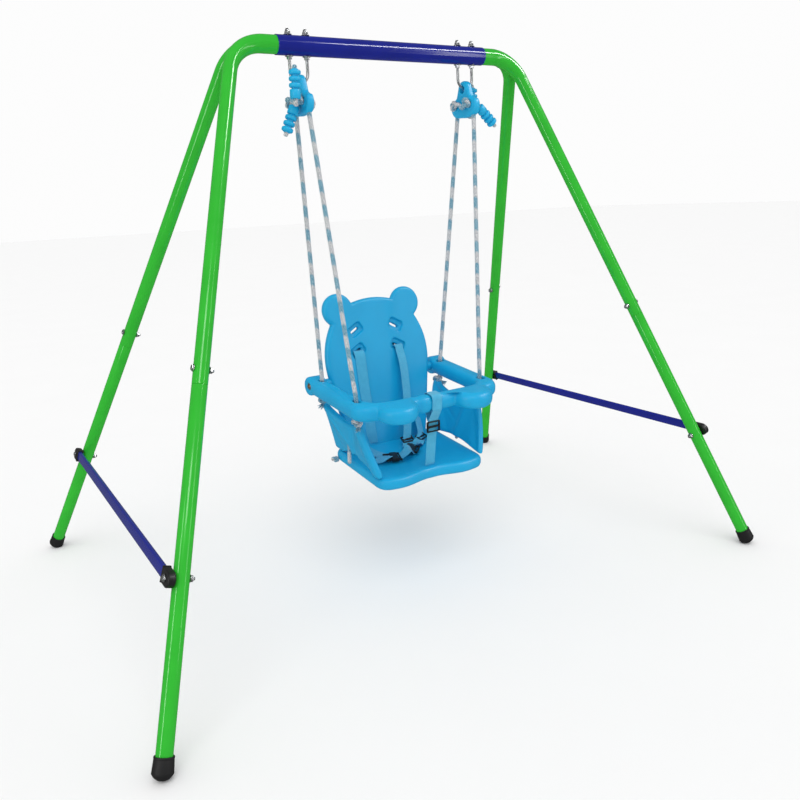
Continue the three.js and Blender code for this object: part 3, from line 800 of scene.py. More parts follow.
def add_legs(side_name, side):
    tube = pipe(f"corner_leg_{side_name}", corner_path(side, -1),
                lambda i: corner_radius((i - 1) / BEND_STEPS), TUBE_WALL, 64)
    finish_piece(smooth_shade(tube), "frame", "green_paint", (f"corner_tube_{side_name}",))
    tube = pipe(f"rear_leg_{side_name}", corner_path(side, 1)[1:], lambda i: LEG_RADIUS, TUBE_WALL, 64)
    finish_piece(smooth_shade(tube), "frame", "green_paint", (f"rear_tube_{side_name}",))
    weld_bead(side_name, side)
    normal = outward(side)
    for end_name, end in ENDS.items():
        where = f"{end_name}_{side_name}"
        direction = leg_direction(side, end)
        seam = leg_point(side, end, SEAM_Z) + direction * 0.3
        length = (leg_point(side, end, 0) - seam).length - FOOT_SETBACK
        neck = LEG_RADIUS - TUBE_WALL - 0.3
        profile = [
            (neck, -NECK_LENGTH), (neck, -0.6), (LEG_RADIUS - 0.9, -0.2), (LEG_RADIUS - 0.25, 0.1),
            (LEG_RADIUS, 0.8), (LEG_RADIUS, length), (LEG_RADIUS - TUBE_WALL, length),
            (LEG_RADIUS - TUBE_WALL, 6), (neck - TUBE_WALL, 0), (neck - TUBE_WALL, -NECK_LENGTH),
        ]
        tube = turned(f"lower_tube_{where}", profile + profile[:1], seam, direction, 64)
        finish_piece(smooth_shade(tube), "frame", "green_paint", (f"lower_leg_{where}",))
        add_foot(where, seam + direction * length, direction)
        head = leg_point(side, end, JOINT_BOLT_Z) + normal * (LEG_RADIUS + 0.3)
        bolt = screw(f"leg_screw_{where}", head, -normal, 2 * (LEG_RADIUS + 0.3))
        finish_piece(bolt, "frame", "zinc_steel", (f"joint_bolt_{where}",))


def add_foot(where, tube_end, direction):
    """A rubber cap with a rolled lip and a domed sole, worn flat where it meets the floor."""
    rim, dome, lean = 17.7, 19.7, leg_direction(1, -1).z
    pole = FOOT_SETBACK + dome + dome / lean + 0.6
    profile = [
        (0.01, 0.3), (LEG_RADIUS + 0.1, 0.3), (LEG_RADIUS + 0.1, -14.2), (15.4, -15), (16.4, -14.6),
        (16.8, -13.4), (16.6, -11.6), (16.2, -10.8), (16.5, -9.6), (17.2, 2), (rim - 0.1, 8),
    ]
    edge = math.asin(rim / dome)
    for k in range(13):
        angle = edge * (1 - k / 12)
        dip = 0.5 if k == 6 else 0.0
        profile.append((max(dome * math.sin(angle), 0.01), pole - dome + dome * math.cos(angle) - dip))
    cap = turned(f"foot_{where}", profile, tube_end, direction, 56)
    cut = bmesh.new()
    cut.from_mesh(cap.data)
    geometry = cut.verts[:] + cut.edges[:] + cut.faces[:]
    bmesh.ops.bisect_plane(cut, geom=geometry, plane_co=(0, 0, 0), plane_no=(0, 0, 1), clear_inner=True)
    bmesh.ops.holes_fill(cut, edges=cut.edges, sides=0)
    bmesh.ops.recalc_face_normals(cut, faces=cut.faces)
    cut.to_mesh(cap.data)
    cut.free()
    finish_piece(smooth_shade(cap, 35), "frame", "black_rubber", (f"foot_cap_{where}",))


def add_brace(side_name, side):
    normal = outward(side)
    offset = LEG_RADIUS + 0.3 + 2 + BRACE_THICKNESS / 2 + 0.3
    spots = {end: leg_point(side, end, BRACE_Z) for end in ENDS.values()}
    path = [spots[end] + normal * offset + vec(0, BRACE_OVERHANG * end, 0) for end in (-1, 1)]
    path = [path[0].lerp(path[1], share) for share in (0, 0.02, 0.5, 0.98, 1)]
    section = rounded_box_section(BRACE_HEIGHT / 2, BRACE_THICKNESS / 2, 3.6)
    bar = sweep(f"brace_bar_{side_name}", path, lambda i: section, up=normal)
    finish_piece(smooth_shade(bar), "frame", "blue_paint", (f"brace_{side_name}",))
    depth = 2 * (BRACE_THICKNESS / 2 + 0.3 + 2)
    outline = [(-20, -14)] + bezier([(8, -14), (20, -10), (20, 0)]) + bezier([(20, 0), (20, 10), (8, 14)])
    outline += [(8, 14), (-20, 14)]
    for end_name, end in ENDS.items():
        where = f"{end_name}_{side_name}"
        out = vec(0, end, 0)
        basis = Matrix((out, normal.cross(out), normal)).transposed().to_4x4()
        middle = spots[end] + normal * (LEG_RADIUS + 0.3)
        cap = slab(f"brace_end_{where}", outline, 0, depth, 2.6)
        modify(cap, "BEVEL", width=0.6, segments=2, limit_method="ANGLE", angle_limit=0.9)
        oval = [(x * 0.10 - 18.4, y * 1.06) for x, y in circle(14, 24)]
        rim = slab("rim", oval, -0.4, depth + 0.4, 1.2)
        cap = place(join(cap.name, [cap, rim]), Matrix.Translation(middle) @ basis)
        finish_piece(smooth_shade(cap, 35), "frame", "black_plastic", (f"brace_cap_{where}",))
        head = spots[end] + normal * (LEG_RADIUS + 0.6 + depth)
        bolt = screw(f"brace_screw_{where}", head, -normal, 2 * LEG_RADIUS + depth + 0.9)
        finish_piece(bolt, "frame", "zinc_steel", (f"brace_bolt_{where}",))


def add_u_bolt(side_name, side):
    tip = BAR_Z + BAR_RADIUS + 12
    centre = vec(side * U_BOLT_X, BAR_Y, PIVOT_Z + U_BOLT_RADIUS)
    path = [vec(centre.x - U_BOLT_RADIUS, BAR_Y, z) for z in (tip, BAR_Z, centre.z + 8)]
    path += [centre + vec(x, 0, z) for x, z in arc(0, 0, U_BOLT_RADIUS, 180, 360, 28)]
    path += [vec(centre.x + U_BOLT_RADIUS, BAR_Y, z) for z in (centre.z + 8, BAR_Z, tip)]
    rod = sweep(f"hanger_{side_name}", path, lambda i: circle(BOLT_RADIUS, 28), up=Y_AXIS)
    finish_piece(smooth_shade(rod), "frame", "zinc_steel", (f"u_bolt_{side_name}",))
    washer = washer_profile(BOLT_RADIUS + 0.2, 8.3, 1.2)
    for leg_name, k in (("outer", side), ("inner", -side)):
        for level, sign in (("top", 1), ("under", -1)):
            spot = vec(centre.x + k * U_BOLT_RADIUS, BAR_Y, BAR_Z + sign * (BAR_RADIUS + 0.2))
            up = Z_AXIS * sign
            base = spot + up * 1.1
            if level == "top":
                nut = hexagon(5.0, 5.2, base, up, dome=6.0)
            else:
                nut = hexagon(5.0, 5.2, base, up, bore=BOLT_RADIUS - 0.2)
            where = f"{level}_{leg_name}_{side_name}"
            piece = join(f"hanger_nut_{where}", [turned("part", washer, spot, up), nut])
            finish_piece(smooth_shade(piece, 30), "frame", "zinc_steel", (f"u_bolt_nut_{where}",))


# ---- Hanging plates and the ropes' tails ----
def cutter(outline, low, high):
    """A sharp-edged prism that cuts a hole."""
    return slab("cutter", outline, low, high, 0.01, 1)


def add_plate(side_name, side):
    """The plate's own frame: X is the set's Y, Y is up, Z is the set's X, from the hole's middle."""
    half_thickness, lobe_y = PLATE_THICKNESS / 2, -36
    half = [(0, 19)] + arc(0, 0, 19, 90, 32, 8)[1:] + [(24.5, -14), (33, -20)]
    half += arc(PLATE_HOLE_X, lobe_y, 22, 40, -90, 12) + [(0, -60)]
    parts = [slab("part", mirrored(half), -half_thickness, half_thickness, 5)]
    for x in (-PLATE_HOLE_X, PLATE_HOLE_X):
        for low in (-half_thickness - 1.2, half_thickness - 4):
            parts.append(slab("boss", disc(x, lobe_y + 4, 13.5), low, low + 5.2, 2.2))
    parts.append(slab("boss", disc(0, 0, 15), -9.2, 9.2, 3))
    plate = join(f"hanging_plate_{side_name}", parts)
    modify(plate, "REMESH", mode="VOXEL", voxel_size=0.9)
    cutters = [cutter(disc(0, 0, 8.5, 24), -20, 20)]
    cutters += [cutter(disc(x, lobe_y + 4, 6.5, 24), -20, 20) for x in (-PLATE_HOLE_X, PLATE_HOLE_X)]
    subtract(plate, cutters)
    soften(plate, 0.9, 5)
    basis = Matrix((Y_AXIS, Z_AXIS, X_AXIS)).transposed().to_4x4()
    place(plate, Matrix.Translation((side * U_BOLT_X, BAR_Y, PIVOT_Z - 3.2)) @ basis)
    finish_piece(smooth_shade(plate, 60), "swing", "small_plastic", (f"rope_plate_{side_name}",))


# Each sleeve: its base, its axis, and the rope's way to it from the plate.
SLEEVES = {
    "front_left": ((-239, -166, 1065), (0.05, 0, 1),
                   [(-219, -138, 1066), (-231, -152, 1057), (-239, -164, 1057)]),
    "rear_left": ((-224, -125, 1055), (-0.4, 0, -0.92),
                  [(-217, -95, 1066), (-229, -104, 1070), (-226, -118, 1067)]),
    "front_right": ((225, -137, 1059), (0.8, 0, -0.72), [(208, -140, 1065), (216, -139, 1066)]),
    "rear_right": ((243, -88, 1053), (0, 0, 1), [(208, -90, 1064), (226, -90, 1047), (240, -88, 1044)]),
}
SLEEVE_BASE = 17
RIB_PITCH = 12
SLEEVE_RIBS = 3


def add_sleeves():
    end = SLEEVE_BASE + SLEEVE_RIBS * RIB_PITCH
    profile = [(5.2, -0.5), (9.4, -0.5), (10.5, 0.6), (10.7, SLEEVE_BASE - 2), (9.9, SLEEVE_BASE - 0.8)]
    for k in range(SLEEVE_RIBS):
        start = SLEEVE_BASE + RIB_PITCH * k
        rib = [(6.8, 0), (6.9, 2.2), (10.4, 2.9), (11.7, 4.4), (11.8, 8.4), (10.6, 10.2), (6.9, 11.0)]
        profile += [(radius, start + at) for radius, at in rib]
    profile += [(6.8, end), (6.2, end + 0.8), (5.2, end + 0.8), (5.2, end - 2), (5.2, -0.5)]
    for name, (base, axis, way) in SLEEVES.items():
        base, axis = Vector(base), Vector(axis).normalized()
        sleeve = turned(f"ribbed_sleeve_{name}", profile, base, axis)
        finish_piece(smooth_shade(sleeve, 50), "swing", "small_plastic", (f"tail_sleeve_{name}",))
        path = [Vector(p) for p in way] + [base + axis * at for at in (2, 25, end + 8)]
        finish_piece(rope(f"rope_tail_{name}", path, 4.8), "swing", "rope")


def add_plate_ropes():
    """The hitches: each rope is knotted on the plate's left face and passes through it to the right."""
    hole_z = PIVOT_Z - 35
    for side_name, side in SIDES.items():
        middle = side * U_BOLT_X
        left, right = middle - PLATE_THICKNESS / 2, middle + PLATE_THICKNESS / 2
        for end_name, end in ENDS.items():
            y = BAR_Y + end * PLATE_HOLE_X
            where = f"{end_name}_{side_name}"
            centre = vec(left - 8, y - end * 2, hole_z + 1)
            knot(f"hitch_knot_{where}", centre, vec(-1, 0.4 * end, 0.3), 0.95)
            through = [centre, vec(middle, y, hole_z), vec(right + 4, y, hole_z - 1),
                       vec(right + 5, y + end * 3, hole_z - 9), vec(middle + 4, y + end * 5, hole_z - 21)]
            finish_piece(rope(f"hitch_rope_{where}", through, 4.4), "swing", "rope")
        bridge = [vec(left - 5, BAR_Y - 24, hole_z + 4), vec(left - 7, BAR_Y - 8, hole_z - 8),
                  vec(left - 7, BAR_Y + 8, hole_z + 2), vec(left - 5, BAR_Y + 26, hole_z - 4)]
        finish_piece(rope(f"bridge_rope_{side_name}", bridge, 4.4), "swing", "rope")


for side_name, side in SIDES.items():
    add_legs(side_name, side)
    add_brace(side_name, side)
    add_u_bolt(side_name, side)
    add_plate(side_name, side)
add_crossbar()
add_sleeves()
add_plate_ropes()


# ---- Seat ----
def add_backrest():
    half = [(0, -10), (92, -10), (104, -8)] + bezier([(105, -2), (118, 60), (137, 170)], 12)
    ear = arc(EAR_X, EAR_HEIGHT, EAR_RADIUS, -55, 160, 26)
    half += bezier([(137, 170), (150, 240), ear[0]], 12) + ear
    half += bezier([ear[-1], (30, 351), (0, 351.5)], 8)[1:] + [(0, 351.5)]
    panel = slab("moulded_backrest", mirrored(half), -BACK_THICKNESS, 0, 8)
    cutters = []
    for side in SIDES.values():
        for up in SLOT_HEIGHTS:
            tilt = Matrix.Translation((side * POCKET_X, up, 0)) @ Matrix.Rotation(-side * SLOT_TILT, 4, "Z")
            pocket = [tuple((tilt @ vec(x, y, 0)).xy) for x, y in rounded_box_section(19, 13, 6)]
            slot = [tuple((tilt @ vec(x, y - 1, 0)).xy) for x, y in rounded_box_section(12.5, 3.2, 3)]
            cutters += [cutter(pocket, -7, 8), cutter(slot, -30, 8)]
    subtract(panel, cutters)
    soften(panel, 2.0, 5)
    place(panel, BACK)
    parts = [panel]
    boss_x = 112
    reach = GUARD_INNER_X - boss_x
    profile = [(0.01, 0), (11, 0), (11, reach - 1), (10.4, reach - 0.3), (0.01, reach - 0.3)]
    for side in SIDES.values():
        parts.append(turned("boss", profile, seat_point(side * boss_x, HINGE_Y, HINGE_Z), vec(side, 0, 0)))
    finish_piece(smooth_shade(join("moulded_backrest", parts), 50), "swing", "seat_plastic", ("backrest",))


def add_pan():
    half = [(0, 80), (108, 80)] + arc(116, 56, 24, 90, 0, 8) + [(140, -116)]
    half += bezier([(140, -122), (138, -150), (106, -153)], 10)
    half += bezier([(106, -153), (60, -162), (40, -140), (0, -143)], 14) + [(0, -143)]
    pan = slab("moulded_pan", mirrored(half), PAN_TOP - PAN_THICKNESS, PAN_TOP, 11)
    soften(pan, 2.4, 6)
    for vertex in pan.data.vertices:
        x, y, z = vertex.co
        if z > PAN_TOP - 6:
            dish = max(0.0, 1 - (x / 118) ** 4) * max(0.0, 1 - (abs(y + 38) / 98) ** 4)
            vertex.co.z -= 2.2 * dish
    place(pan, SEAT)
    finish_piece(smooth_shade(pan, 60), "swing", "seat_plastic", ("seat_pan",))


def line_distance(point, start, end):
    """Signed distance of a flat point from the line through `start` and `end`."""
    along, offset = Vector(end) - Vector(start), point - Vector(start)
    return (along.x * offset.y - along.y * offset.x) / along.length


def bell(value, width):
    return math.exp(-(value / width) ** 2)


def add_wing(side_name, side):
    """A blown side panel shaped like a stretched hide, with a crease and soft tension folds."""
    drop = WING_TOP_Z - PAN_TOP
    lean = math.atan2(WING_TOP_X - WING_FOOT_X, drop)
    foot = -drop / math.cos(lean)
    outline = arc(HOLE_Y, 0, 12, 20, 160, 8) + bezier([(66, 2), (0, -16), (-66, -6)], 12)
    outline += arc(-HOLE_Y, -8, 12, 40, 165, 8) + bezier([(-95, -10), (-120, -58), (-137, foot + 10)], 12)
    outline += [(-138, foot + 2), (-124, foot + 2)]
    outline += bezier([(-118, foot + 3), (-40, foot + WING_ARCH[side_name]), (36, foot + 4)], 14)
    outline += [(42, foot + 2), (74, foot + 2)] + bezier([(78, foot + 6), (80, -50), (93, 0)], 12)
    panel = slab(f"side_hide_{side_name}", outline, -WING_THICKNESS / 2, WING_THICKNESS / 2, 6)
    soften(panel, 2.0, 6)
    crease = ((88, 4), (4, foot + 18))
    column = ((-82, 0), (-129, foot))
    fold = ((-60, -4), (-40, foot + 24))
    for vertex in panel.data.vertices:
        spot = vertex.co.xy
        step = 6.5 / (1 + math.exp(line_distance(spot, *crease) / 3.5))
        bulge = step * (0.35 + 0.65 * bell(spot.y + 50, 60))
        bulge += 3.2 * bell(line_distance(spot, *column) - 4, 13) - 3.4 * bell(line_distance(spot, *fold), 12)
        bulge += 2.0 * bell(spot.y - 0.6 * spot.x + 52, 8) * bell(spot.x - 40, 60)
        vertex.co.z += side * (bulge - 2.5)
    modify(panel, "SMOOTH", factor=0.5, iterations=2)
    up = vec(side * math.sin(lean), 0, math.cos(lean))
    basis = Matrix((Y_AXIS, up, Y_AXIS.cross(up))).transposed().to_4x4()
    basis.translation = (side * WING_TOP_X, 0, WING_TOP_Z)
    place(panel, SEAT @ basis)
    finish_piece(smooth_shade(panel, 60), "swing", "seat_plastic", (f"side_wing_{side_name}",))


def add_guard_bar():
    outer, inner, front = GUARD_OUTER_X, GUARD_INNER_X, GUARD_FRONT_Y
    back = front + GUARD_DEPTH
    middle = (outer + inner) / 2
    half = [(0, front)] + bezier([(0, front), (38, front), (PAW_X - PAW_RADIUS * 0.94, front + 4)], 8)[1:]
    half += arc(PAW_X, -143, PAW_RADIUS, 195, 355, 22)
    half += bezier([(PAW_X + PAW_RADIUS, -140), (outer, -134), (outer, -95)], 8)
    half += arc(middle, GUARD_REAR_Y - 21, 21, 0, 180, 14)
    half += bezier([(inner, front + 77), (inner, back + 4), (inner - 48, back + 3)], 10)
    half += [(inner - 48, back + 3), (0, back)]
    parts = [slab("part", mirrored(half), -GUARD_HEIGHT, 0, 15.5, 8)]
    lobe = [(0.01, 0), (16, 0), (21, 2.5), (22.4, 7)]
    lobe += [(radius, GUARD_WIDTH - at) for radius, at in reversed(lobe)]
    for side in SIDES.values():
        start = vec(side * inner, 109, -GUARD_HEIGHT / 2)
        parts.append(turned("lobe", lobe, start, X_AXIS * side, matrix=LOCAL))
    section = rounded_box_section((GUARD_DEPTH + 2.6) / 2, (GUARD_HEIGHT + 2.6) / 2, 15)
    path = [vec(x, (front + back) / 2, -GUARD_HEIGHT / 2) for x in (-38, -30, -17, -15.5)]
    sizes = (0.93, 1.0, 1.0, 0.99)
    parts.append(sweep("collar", path, lambda i: [(a * sizes[i], b * sizes[i]) for a, b in section],
                       Z_AXIS, matrix=LOCAL))
    bar = join("moulded_guard_bar", parts)
    modify(bar, "REMESH", mode="VOXEL", voxel_size=2.0)
    cutters = []
    for side in SIDES.values():
        for low, high in ((-HOLE_Y - 18, -HOLE_Y + 7), (HOLE_Y - 11, HOLE_Y + 11)):
            hole = rounded_box_section(7.5, (high - low) / 2, 7)
            cutters.append(cutter(shifted(hole, side * HOLE_X, (low + high) / 2), -60, 20))
        well = [(0.01, 0), (9.5, 0), (9.5, 20), (0.01, 20)]
        start = vec(side * (outer - 3.5), HINGE_Y, HINGE_Z)
        cutters.append(turned("cutter", well, start, X_AXIS * side, matrix=LOCAL))
    subtract(bar, cutters, "FAST")
    soften(bar, 2.0, 5)
    place(bar, SEAT)
    finish_piece(smooth_shade(bar, 60), "guard_bar", "seat_plastic", ("guard_bar",))
    for side_name, side in SIDES.items():
        face = seat_point(side * (outer - 3.2), HINGE_Y, HINGE_Z)
        axis = X_AXIS * -side
        parts = [
            turned("part", washer_profile(3.2, 7.9, 1.2), face, -axis),
            hexagon(5.2, 2.6, face - axis * 1.1, -axis, dome=1.4),
            turned("part", [(0.01, 0), (3, 0), (3, 62), (0.01, 62)], face, axis, 24),
        ]
        bolt = join(f"hinge_screw_{side_name}", parts)
        node = f"guard_hinge_bolt_{side_name}"
        finish_piece(smooth_shade(bolt, 30), "guard_bar", "zinc_steel", (node,), "brass_zinc")


add_backrest()
add_pan()
add_guard_bar()
for side_name, side in SIDES.items():
    add_wing(side_name, side)


# ---- Harness ----
def webbing(name, path, wide=X_AXIS, body="swing", replaces=(), step=2.5):
    """Flat webbing along seat-frame points, its width near `wide`. Its UVs are in metres."""
    points = smooth_path([Vector(p) for p in path], step)
    half, edge = STRAP_THICKNESS * 0.45, STRAP_WIDTH / 2
    outline = [(-edge, 0.35), (-edge + 0.5, 0.95), (-edge + 2, 0.8), (-edge / 3, 0.8)]
    outline += [(-w, swell) for w, swell in reversed(outline)]
    section = [(half * swell, w) for w, swell in outline]
    section += [(-a, b) for a, b in reversed(section)]
    rings = []
    for i, spot in enumerate(points):
        tangent = (points[min(i + 1, len(points) - 1)] - points[max(i - 1, 0)]).normalized()
        thick = Vector(wide).cross(tangent).normalized()
        across = tangent.cross(thick)
        rings.append([spot + thick * a + across * b for a, b in section])
    verts, faces, corners = skin(rings)
    sides = len(section)
    metric = [(section[round(u * sides) % sides][1] * 0.001, v) for u, v in corners]
    strap = build(name, verts, faces, metric, MM @ SEAT)
    return finish_piece(smooth_shade(strap, 50), body, "webbing", replaces)


def frame_shape(name, width, height, thickness, windows, matrix, body="swing", replaces=()):
    """A moulded plate with rectangular windows, such as a slider: width along X, height along Y."""
    outline = rounded_box_section(width / 2, height / 2, 2.2)
    plate = slab("part", outline, -thickness / 2, thickness / 2, thickness * 0.3, 3)
    cutters = []
    for x, y, w, h in windows:
        hole = shifted(rounded_box_section(w / 2, h / 2, 1.2, 3), x, y)
        cutters.append(cutter(hole, -thickness, thickness))
    subtract(plate, cutters)
    modify(plate, "BEVEL", width=0.35, segments=2, limit_method="ANGLE", angle_limit=0.6)
    place(plate, matrix)
    plate.name = name
    return finish_piece(smooth_shade(plate, 35), body, "buckle", replaces)


def facing(point, normal, across=X_AXIS):
    """A seat-frame matrix at `point` whose Z is the given normal and whose X is near `across`."""
    z = Vector(normal).normalized()
    y = z.cross(across).normalized()
    matrix = Matrix((y.cross(z), y, z)).transposed().to_4x4()
    matrix.translation = point
    return SEAT @ matrix


def adjuster(name, spot, normal, across=X_AXIS):
    windows = [(0, 4.3, 26, 5), (0, -4.3, 26, 5)]
    frame_shape(name, 32, 20, 3.4, windows, facing(spot, normal, Vector(across)))


def add_shoulder_straps():
    routes = {
        "left": [(-55, 126, 44), (-55, 108, 48), (-55, 99, 37), (-55, 92, 12), (-55, 80, -34), (-54, 72, -65),
                 (-53, 64, -105), (-52, 54, -140), (-51, 48, -168)],
        "right": [(55, 126, 44), (55, 107, 49), (55, 98, 38), (53, 76, 2), (48, 53, -60), (38, 33, -110),
                  (27, 16, -148), (22, 9, -162)],
    }
    for side_name, side in SIDES.items():
        webbing(f"shoulder_webbing_{side_name}", routes[side_name], (1, 0.25 * side, 0),
                replaces=(f"shoulder_strap_{side_name}",))
    adjuster("shoulder_adjuster_right", (23, 9, -160), (0, -0.5, 1))
    behind = [(-55, 126, 44), (-50, 129, 46), (0, 130, 46), (50, 129, 46), (55, 126, 44)]
    webbing("harness_back_webbing", behind, Z_AXIS)


# Each piece of the lap belt: the way its width points, and its route, with heights above the pan.
LAP_WEBBING = {
    "left": ((0.9, 0.35, 0.1),
             [(-84, 58, 40), (-86, 44, 26), (-86, 22, 8), (-80, -8, 4), (-72, -34, 5), (-62, -54, 7)]),
    "right": ((0.8, 0.6, 0),
              [(82, 60, 46), (76, 40, 30), (66, 14, 9), (46, -6, 6), (24, -24, 6), (12, -34, 7)]),
    "join": ((1, 0.2, 0), [(22, 8, 8), (14, -8, 6), (4, -24, 10), (2, -34, 8)]),
    "fold": ((0.35, 1, 0.15), [(-44, -66, 8), (-30, -66, 15), (-16, -60, 19), (-4, -50, 12), (2, -46, 8)]),
    "tail": ((0.3, -1, 0.2), [(-66, -50, 9), (-78, -60, 12), (-92, -58, 7), (-100, -44, 3)]),
}


def add_lap_belt():
    for name, (wide, route) in LAP_WEBBING.items():
        webbing(f"lap_webbing_{name}", [(x, y, PAN_TOP + height) for x, y, height in route], wide)
    adjuster("lap_adjuster", (66, 13, PAN_TOP + 9), (0.1, -0.35, 1), (0.9, 0.4, 0))
    add_buckle("buckle_plug", (-56, -60, PAN_TOP + 8), vec(0.25, 1, 0), True)
    add_buckle("buckle_socket", (6, -40, PAN_TOP + 8), vec(0.7, 0.7, 0), False)


def add_buckle(name, spot, across, is_plug):
    """Half of a side-release buckle: the plug has three prongs, the socket a thicker mouth block."""
    matrix = facing(spot, (0, -0.1, 1), across)
    parts = [slab("part", rounded_box_section(17, 9, 3.5), -4.2, 4.2, 1.8, 4)]
    if is_plug:
        for x in (-13, 0, 13):
            reach = 9 if x == 0 else 12
            prong = shifted(rounded_box_section(2.6, reach, 1.8), x, 12)
            parts.append(slab("part", prong, -2.4, 2.4, 1.0, 3))
    else:
        parts.append(slab("part", shifted(rounded_box_section(18.5, 7, 3), 0, 9), -5.2, 5.2, 2.0, 4))
    parts.append(slab("part", shifted(rounded_box_section(17, 2.2, 2), 0, -14), -2.2, 2.2, 1.2, 4))
    for x in (-15.4, 15.4):
        parts.append(slab("part", shifted(rounded_box_section(1.7, 6, 1.5), x, -10), -2.2, 2.2, 0.9, 4))
    buckle = place(join(name, parts), matrix)
    finish_piece(smooth_shade(buckle, 35), "swing", "buckle")


def add_crotch_strap():
    front, back, top = GUARD_FRONT_Y - 2.2, GUARD_FRONT_Y + GUARD_DEPTH + 2.2, 2.4
    middle = GUARD_FRONT_Y + GUARD_WIDTH / 2 - 6
    foot, under = -62, -GUARD_HEIGHT + 6
    ring = [(back, under), (back, top), (front, top), (front, under)]
    corners = [vec(0, y, z) for y, z in [(middle + 1.6, foot)] + ring + [(middle - 1.6, foot)]]
    path = corners[:1]
    for i, radius in enumerate((8, 11, 11, 8)):
        path += rounded(corners[i:i + 3], radius, 6)[1:-1]
    path += corners[-1:]
    webbing("guard_loop_webbing", path, body="guard_bar", replaces=("crotch_loop",), step=1.5)
    start, end = (0, middle + 8, PAN_TOP + 0.5), (0, middle, foot)
    route = [start, (0, middle + 6, -150), (0, middle + 4, -120), (0, middle + 1, -85), end]
    strap = webbing("crotch_webbing", route, body=None, replaces=("crotch_strap",))
    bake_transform(strap)
    matrix = facing((0, middle - 3.8, -75), (0, -1, 0.06))
    frame_shape("strap_slider", 35, 25, 3.6, [(0, 6, 27, 7.5), (0, -6, 27, 7.5)], matrix, "crotch_slider",
                ("crotch_slider",))


add_shoulder_straps()
add_lap_belt()
add_crotch_strap()


# ---- Knots below the guard bar ----
def fray(name, root, direction):
    """A rope's frayed tip: fine strands that fan out."""
    turn = Z_AXIS.rotation_difference(direction.normalized()).to_matrix()
    golden_angle = 2.4
    taper = (1.1, 1.0, 0.8, 0.45)
    strands = []
    for k in range(14):
        angle = golden_angle * k
        spread = 2.2 + 4.6 * ((k * 5) % 7) / 7
        extra = (k * 3) % 5
        path = []
        for reach, z in ((0.3, -2), (0.6, 4), (1.0, 8 + extra), (1.35, 11 + extra)):
            out = reach * spread
            path.append(root + turn @ vec(out * math.cos(angle), out * math.sin(angle), z))
        strands.append(sweep("strand", path, lambda i: circle(taper[i], 7)))
    finish_piece(smooth_shade(join(name, strands), 60), "swing", "rope")


def add_seat_knots():
    """Knots and frayed tips under the guard bar, rope ends in the side panels and knots under the pan."""
    tilt = SEAT.to_3x3()
    knots = {
        "seat_knot_rear": ((161, 84, -50), (0.3, 0.2, 1), 1.0),
        "seat_knot_front": ((163, -84, -52), (0.2, -0.2, 1), 1.05),
    }
    frays = {"front": ((165, -92, -58), (0.5, -0.8, -0.35)), "rear": ((166, 78, -56), (0.8, -0.5, -0.5))}
    for side_name, side in SIDES.items():
        for name, ((x, y, z), axis, size) in knots.items():
            knot(f"{name}_{side_name}", seat_point(side * x, y, z), tilt @ vec(*axis), size)
        for name, ((x, y, z), (dx, dy, dz)) in frays.items():
            fray(f"rope_fray_{name}_{side_name}", seat_point(side * x, y, z), tilt @ vec(side * dx, dy, dz))
        path = [seat_point(side * 150, -18, z) for z in (-126, -150, -175)]
        finish_piece(rope(f"rope_end_{side_name}", path, 4.4), "swing", "rope")
        knot(f"pan_knot_{side_name}", seat_point(side * 146, 60, -194), tilt @ vec(0.2, 0.1, 1), 0.8)


add_seat_knots()


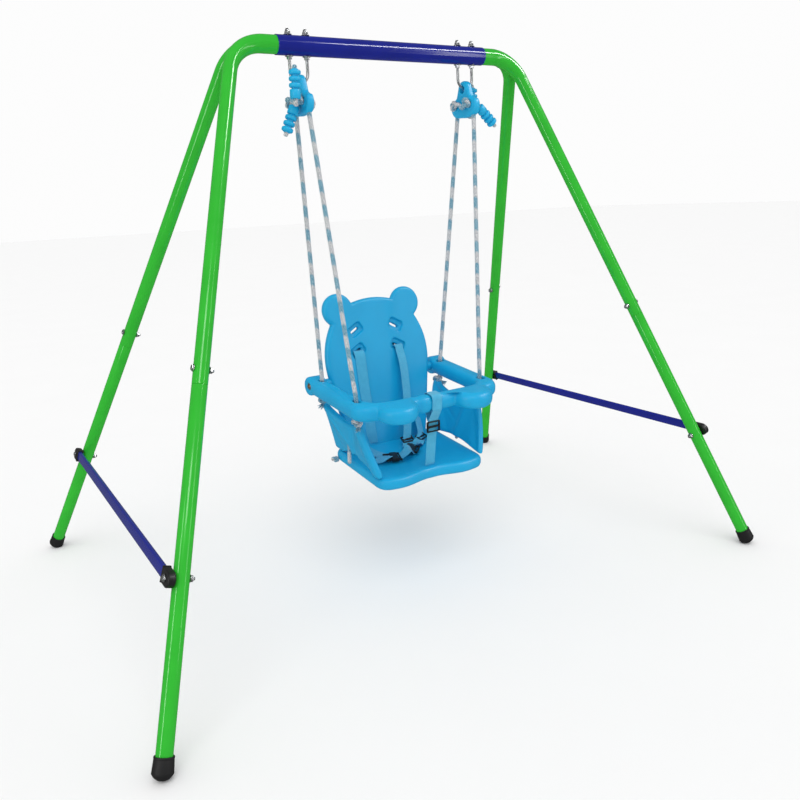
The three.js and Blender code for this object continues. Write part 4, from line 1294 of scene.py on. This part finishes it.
# ---- Stage ----
def add_floor():
    half = 30
    mesh = bpy.data.meshes.new("floor")
    corners = [(-half, -half, 0), (half, -half, 0), (half, half, 0), (-half, half, 0)]
    mesh.from_pydata(corners, [], [(0, 1, 2, 3)])
    floor = bpy.data.objects.new("floor", mesh)
    bpy.context.scene.collection.objects.link(floor)
    surface = Surface("pale_floor", Roughness=0.9, Specular_IOR_Level=0.1)
    surface.color(surface.mix(surface.noise(3, 4), (0.87, 0.87, 0.87), (0.89, 0.89, 0.89)))
    mesh.materials.append(surface.material)
    floor.visible_glossy = False


def add_world():
    """White to the eye and bright for soft shading, but dim in reflections, so that gloss stays crisp."""
    world = bpy.data.worlds.new("studio")
    world.use_nodes = True
    tree = world.node_tree
    rays = tree.nodes.new("ShaderNodeLightPath")
    seen = Field(tree, rays.outputs["Is Camera Ray"])
    soft = Field(tree, rays.outputs["Is Diffuse Ray"])
    strength = seen * (WORLD_SEEN - WORLD_GLOSS) + soft * (WORLD_SOFT - WORLD_GLOSS) + WORLD_GLOSS
    tree.links.new(strength.socket, tree.nodes["Background"].inputs["Strength"])
    tree.nodes["Background"].inputs["Color"].default_value = (1, 1, 1, 1)
    bpy.context.scene.world = world
    bpy.context.scene.view_settings.view_transform = "Standard"


def add_light(name, kind, location, aim, energy, size=None):
    data = bpy.data.lights.new(name, kind)
    data.energy = energy
    if kind == "AREA":
        data.shape = "RECTANGLE"
        data.size, data.size_y = size
    light = bpy.data.objects.new(name, data)
    light.location = location
    light.rotation_euler = (Vector(aim) - Vector(location)).to_track_quat("-Z", "Y").to_euler()
    bpy.context.scene.collection.objects.link(light)
    return light


def add_lights():
    """One broad sun for shading, and strips seen only as highlights."""
    sun = add_light("sun", "SUN", (-1.2, -2.4, 4), (0, 0, 0), SUN_STRENGTH)
    sun.data.angle = math.radians(50)
    sun.visible_glossy = False
    strips = (
        ("strip_bar", (2.5, -1.75, 3.2), (0.8, -0.1, 1.1), 75, (2.8, 0.26)),
        ("strip_left", (-3.0, -1.2, 1.0), (0, 0, 0.8), 20, (0.3, 2.6)),
        ("strip_right", (2.4, -3.2, 1.2), (0, 0, 0.8), 14, (0.3, 2.6)),
        ("strip_seat", (-1.6, -3.0, 3.0), (0, 0, 0.5), 16, (1.2, 0.7)),
    )
    for name, location, aim, energy, size in strips:
        strip = add_light(name, "AREA", location, aim, energy, size)
        strip.visible_diffuse = False
        strip.visible_camera = False


add_floor()
add_world()
add_lights()
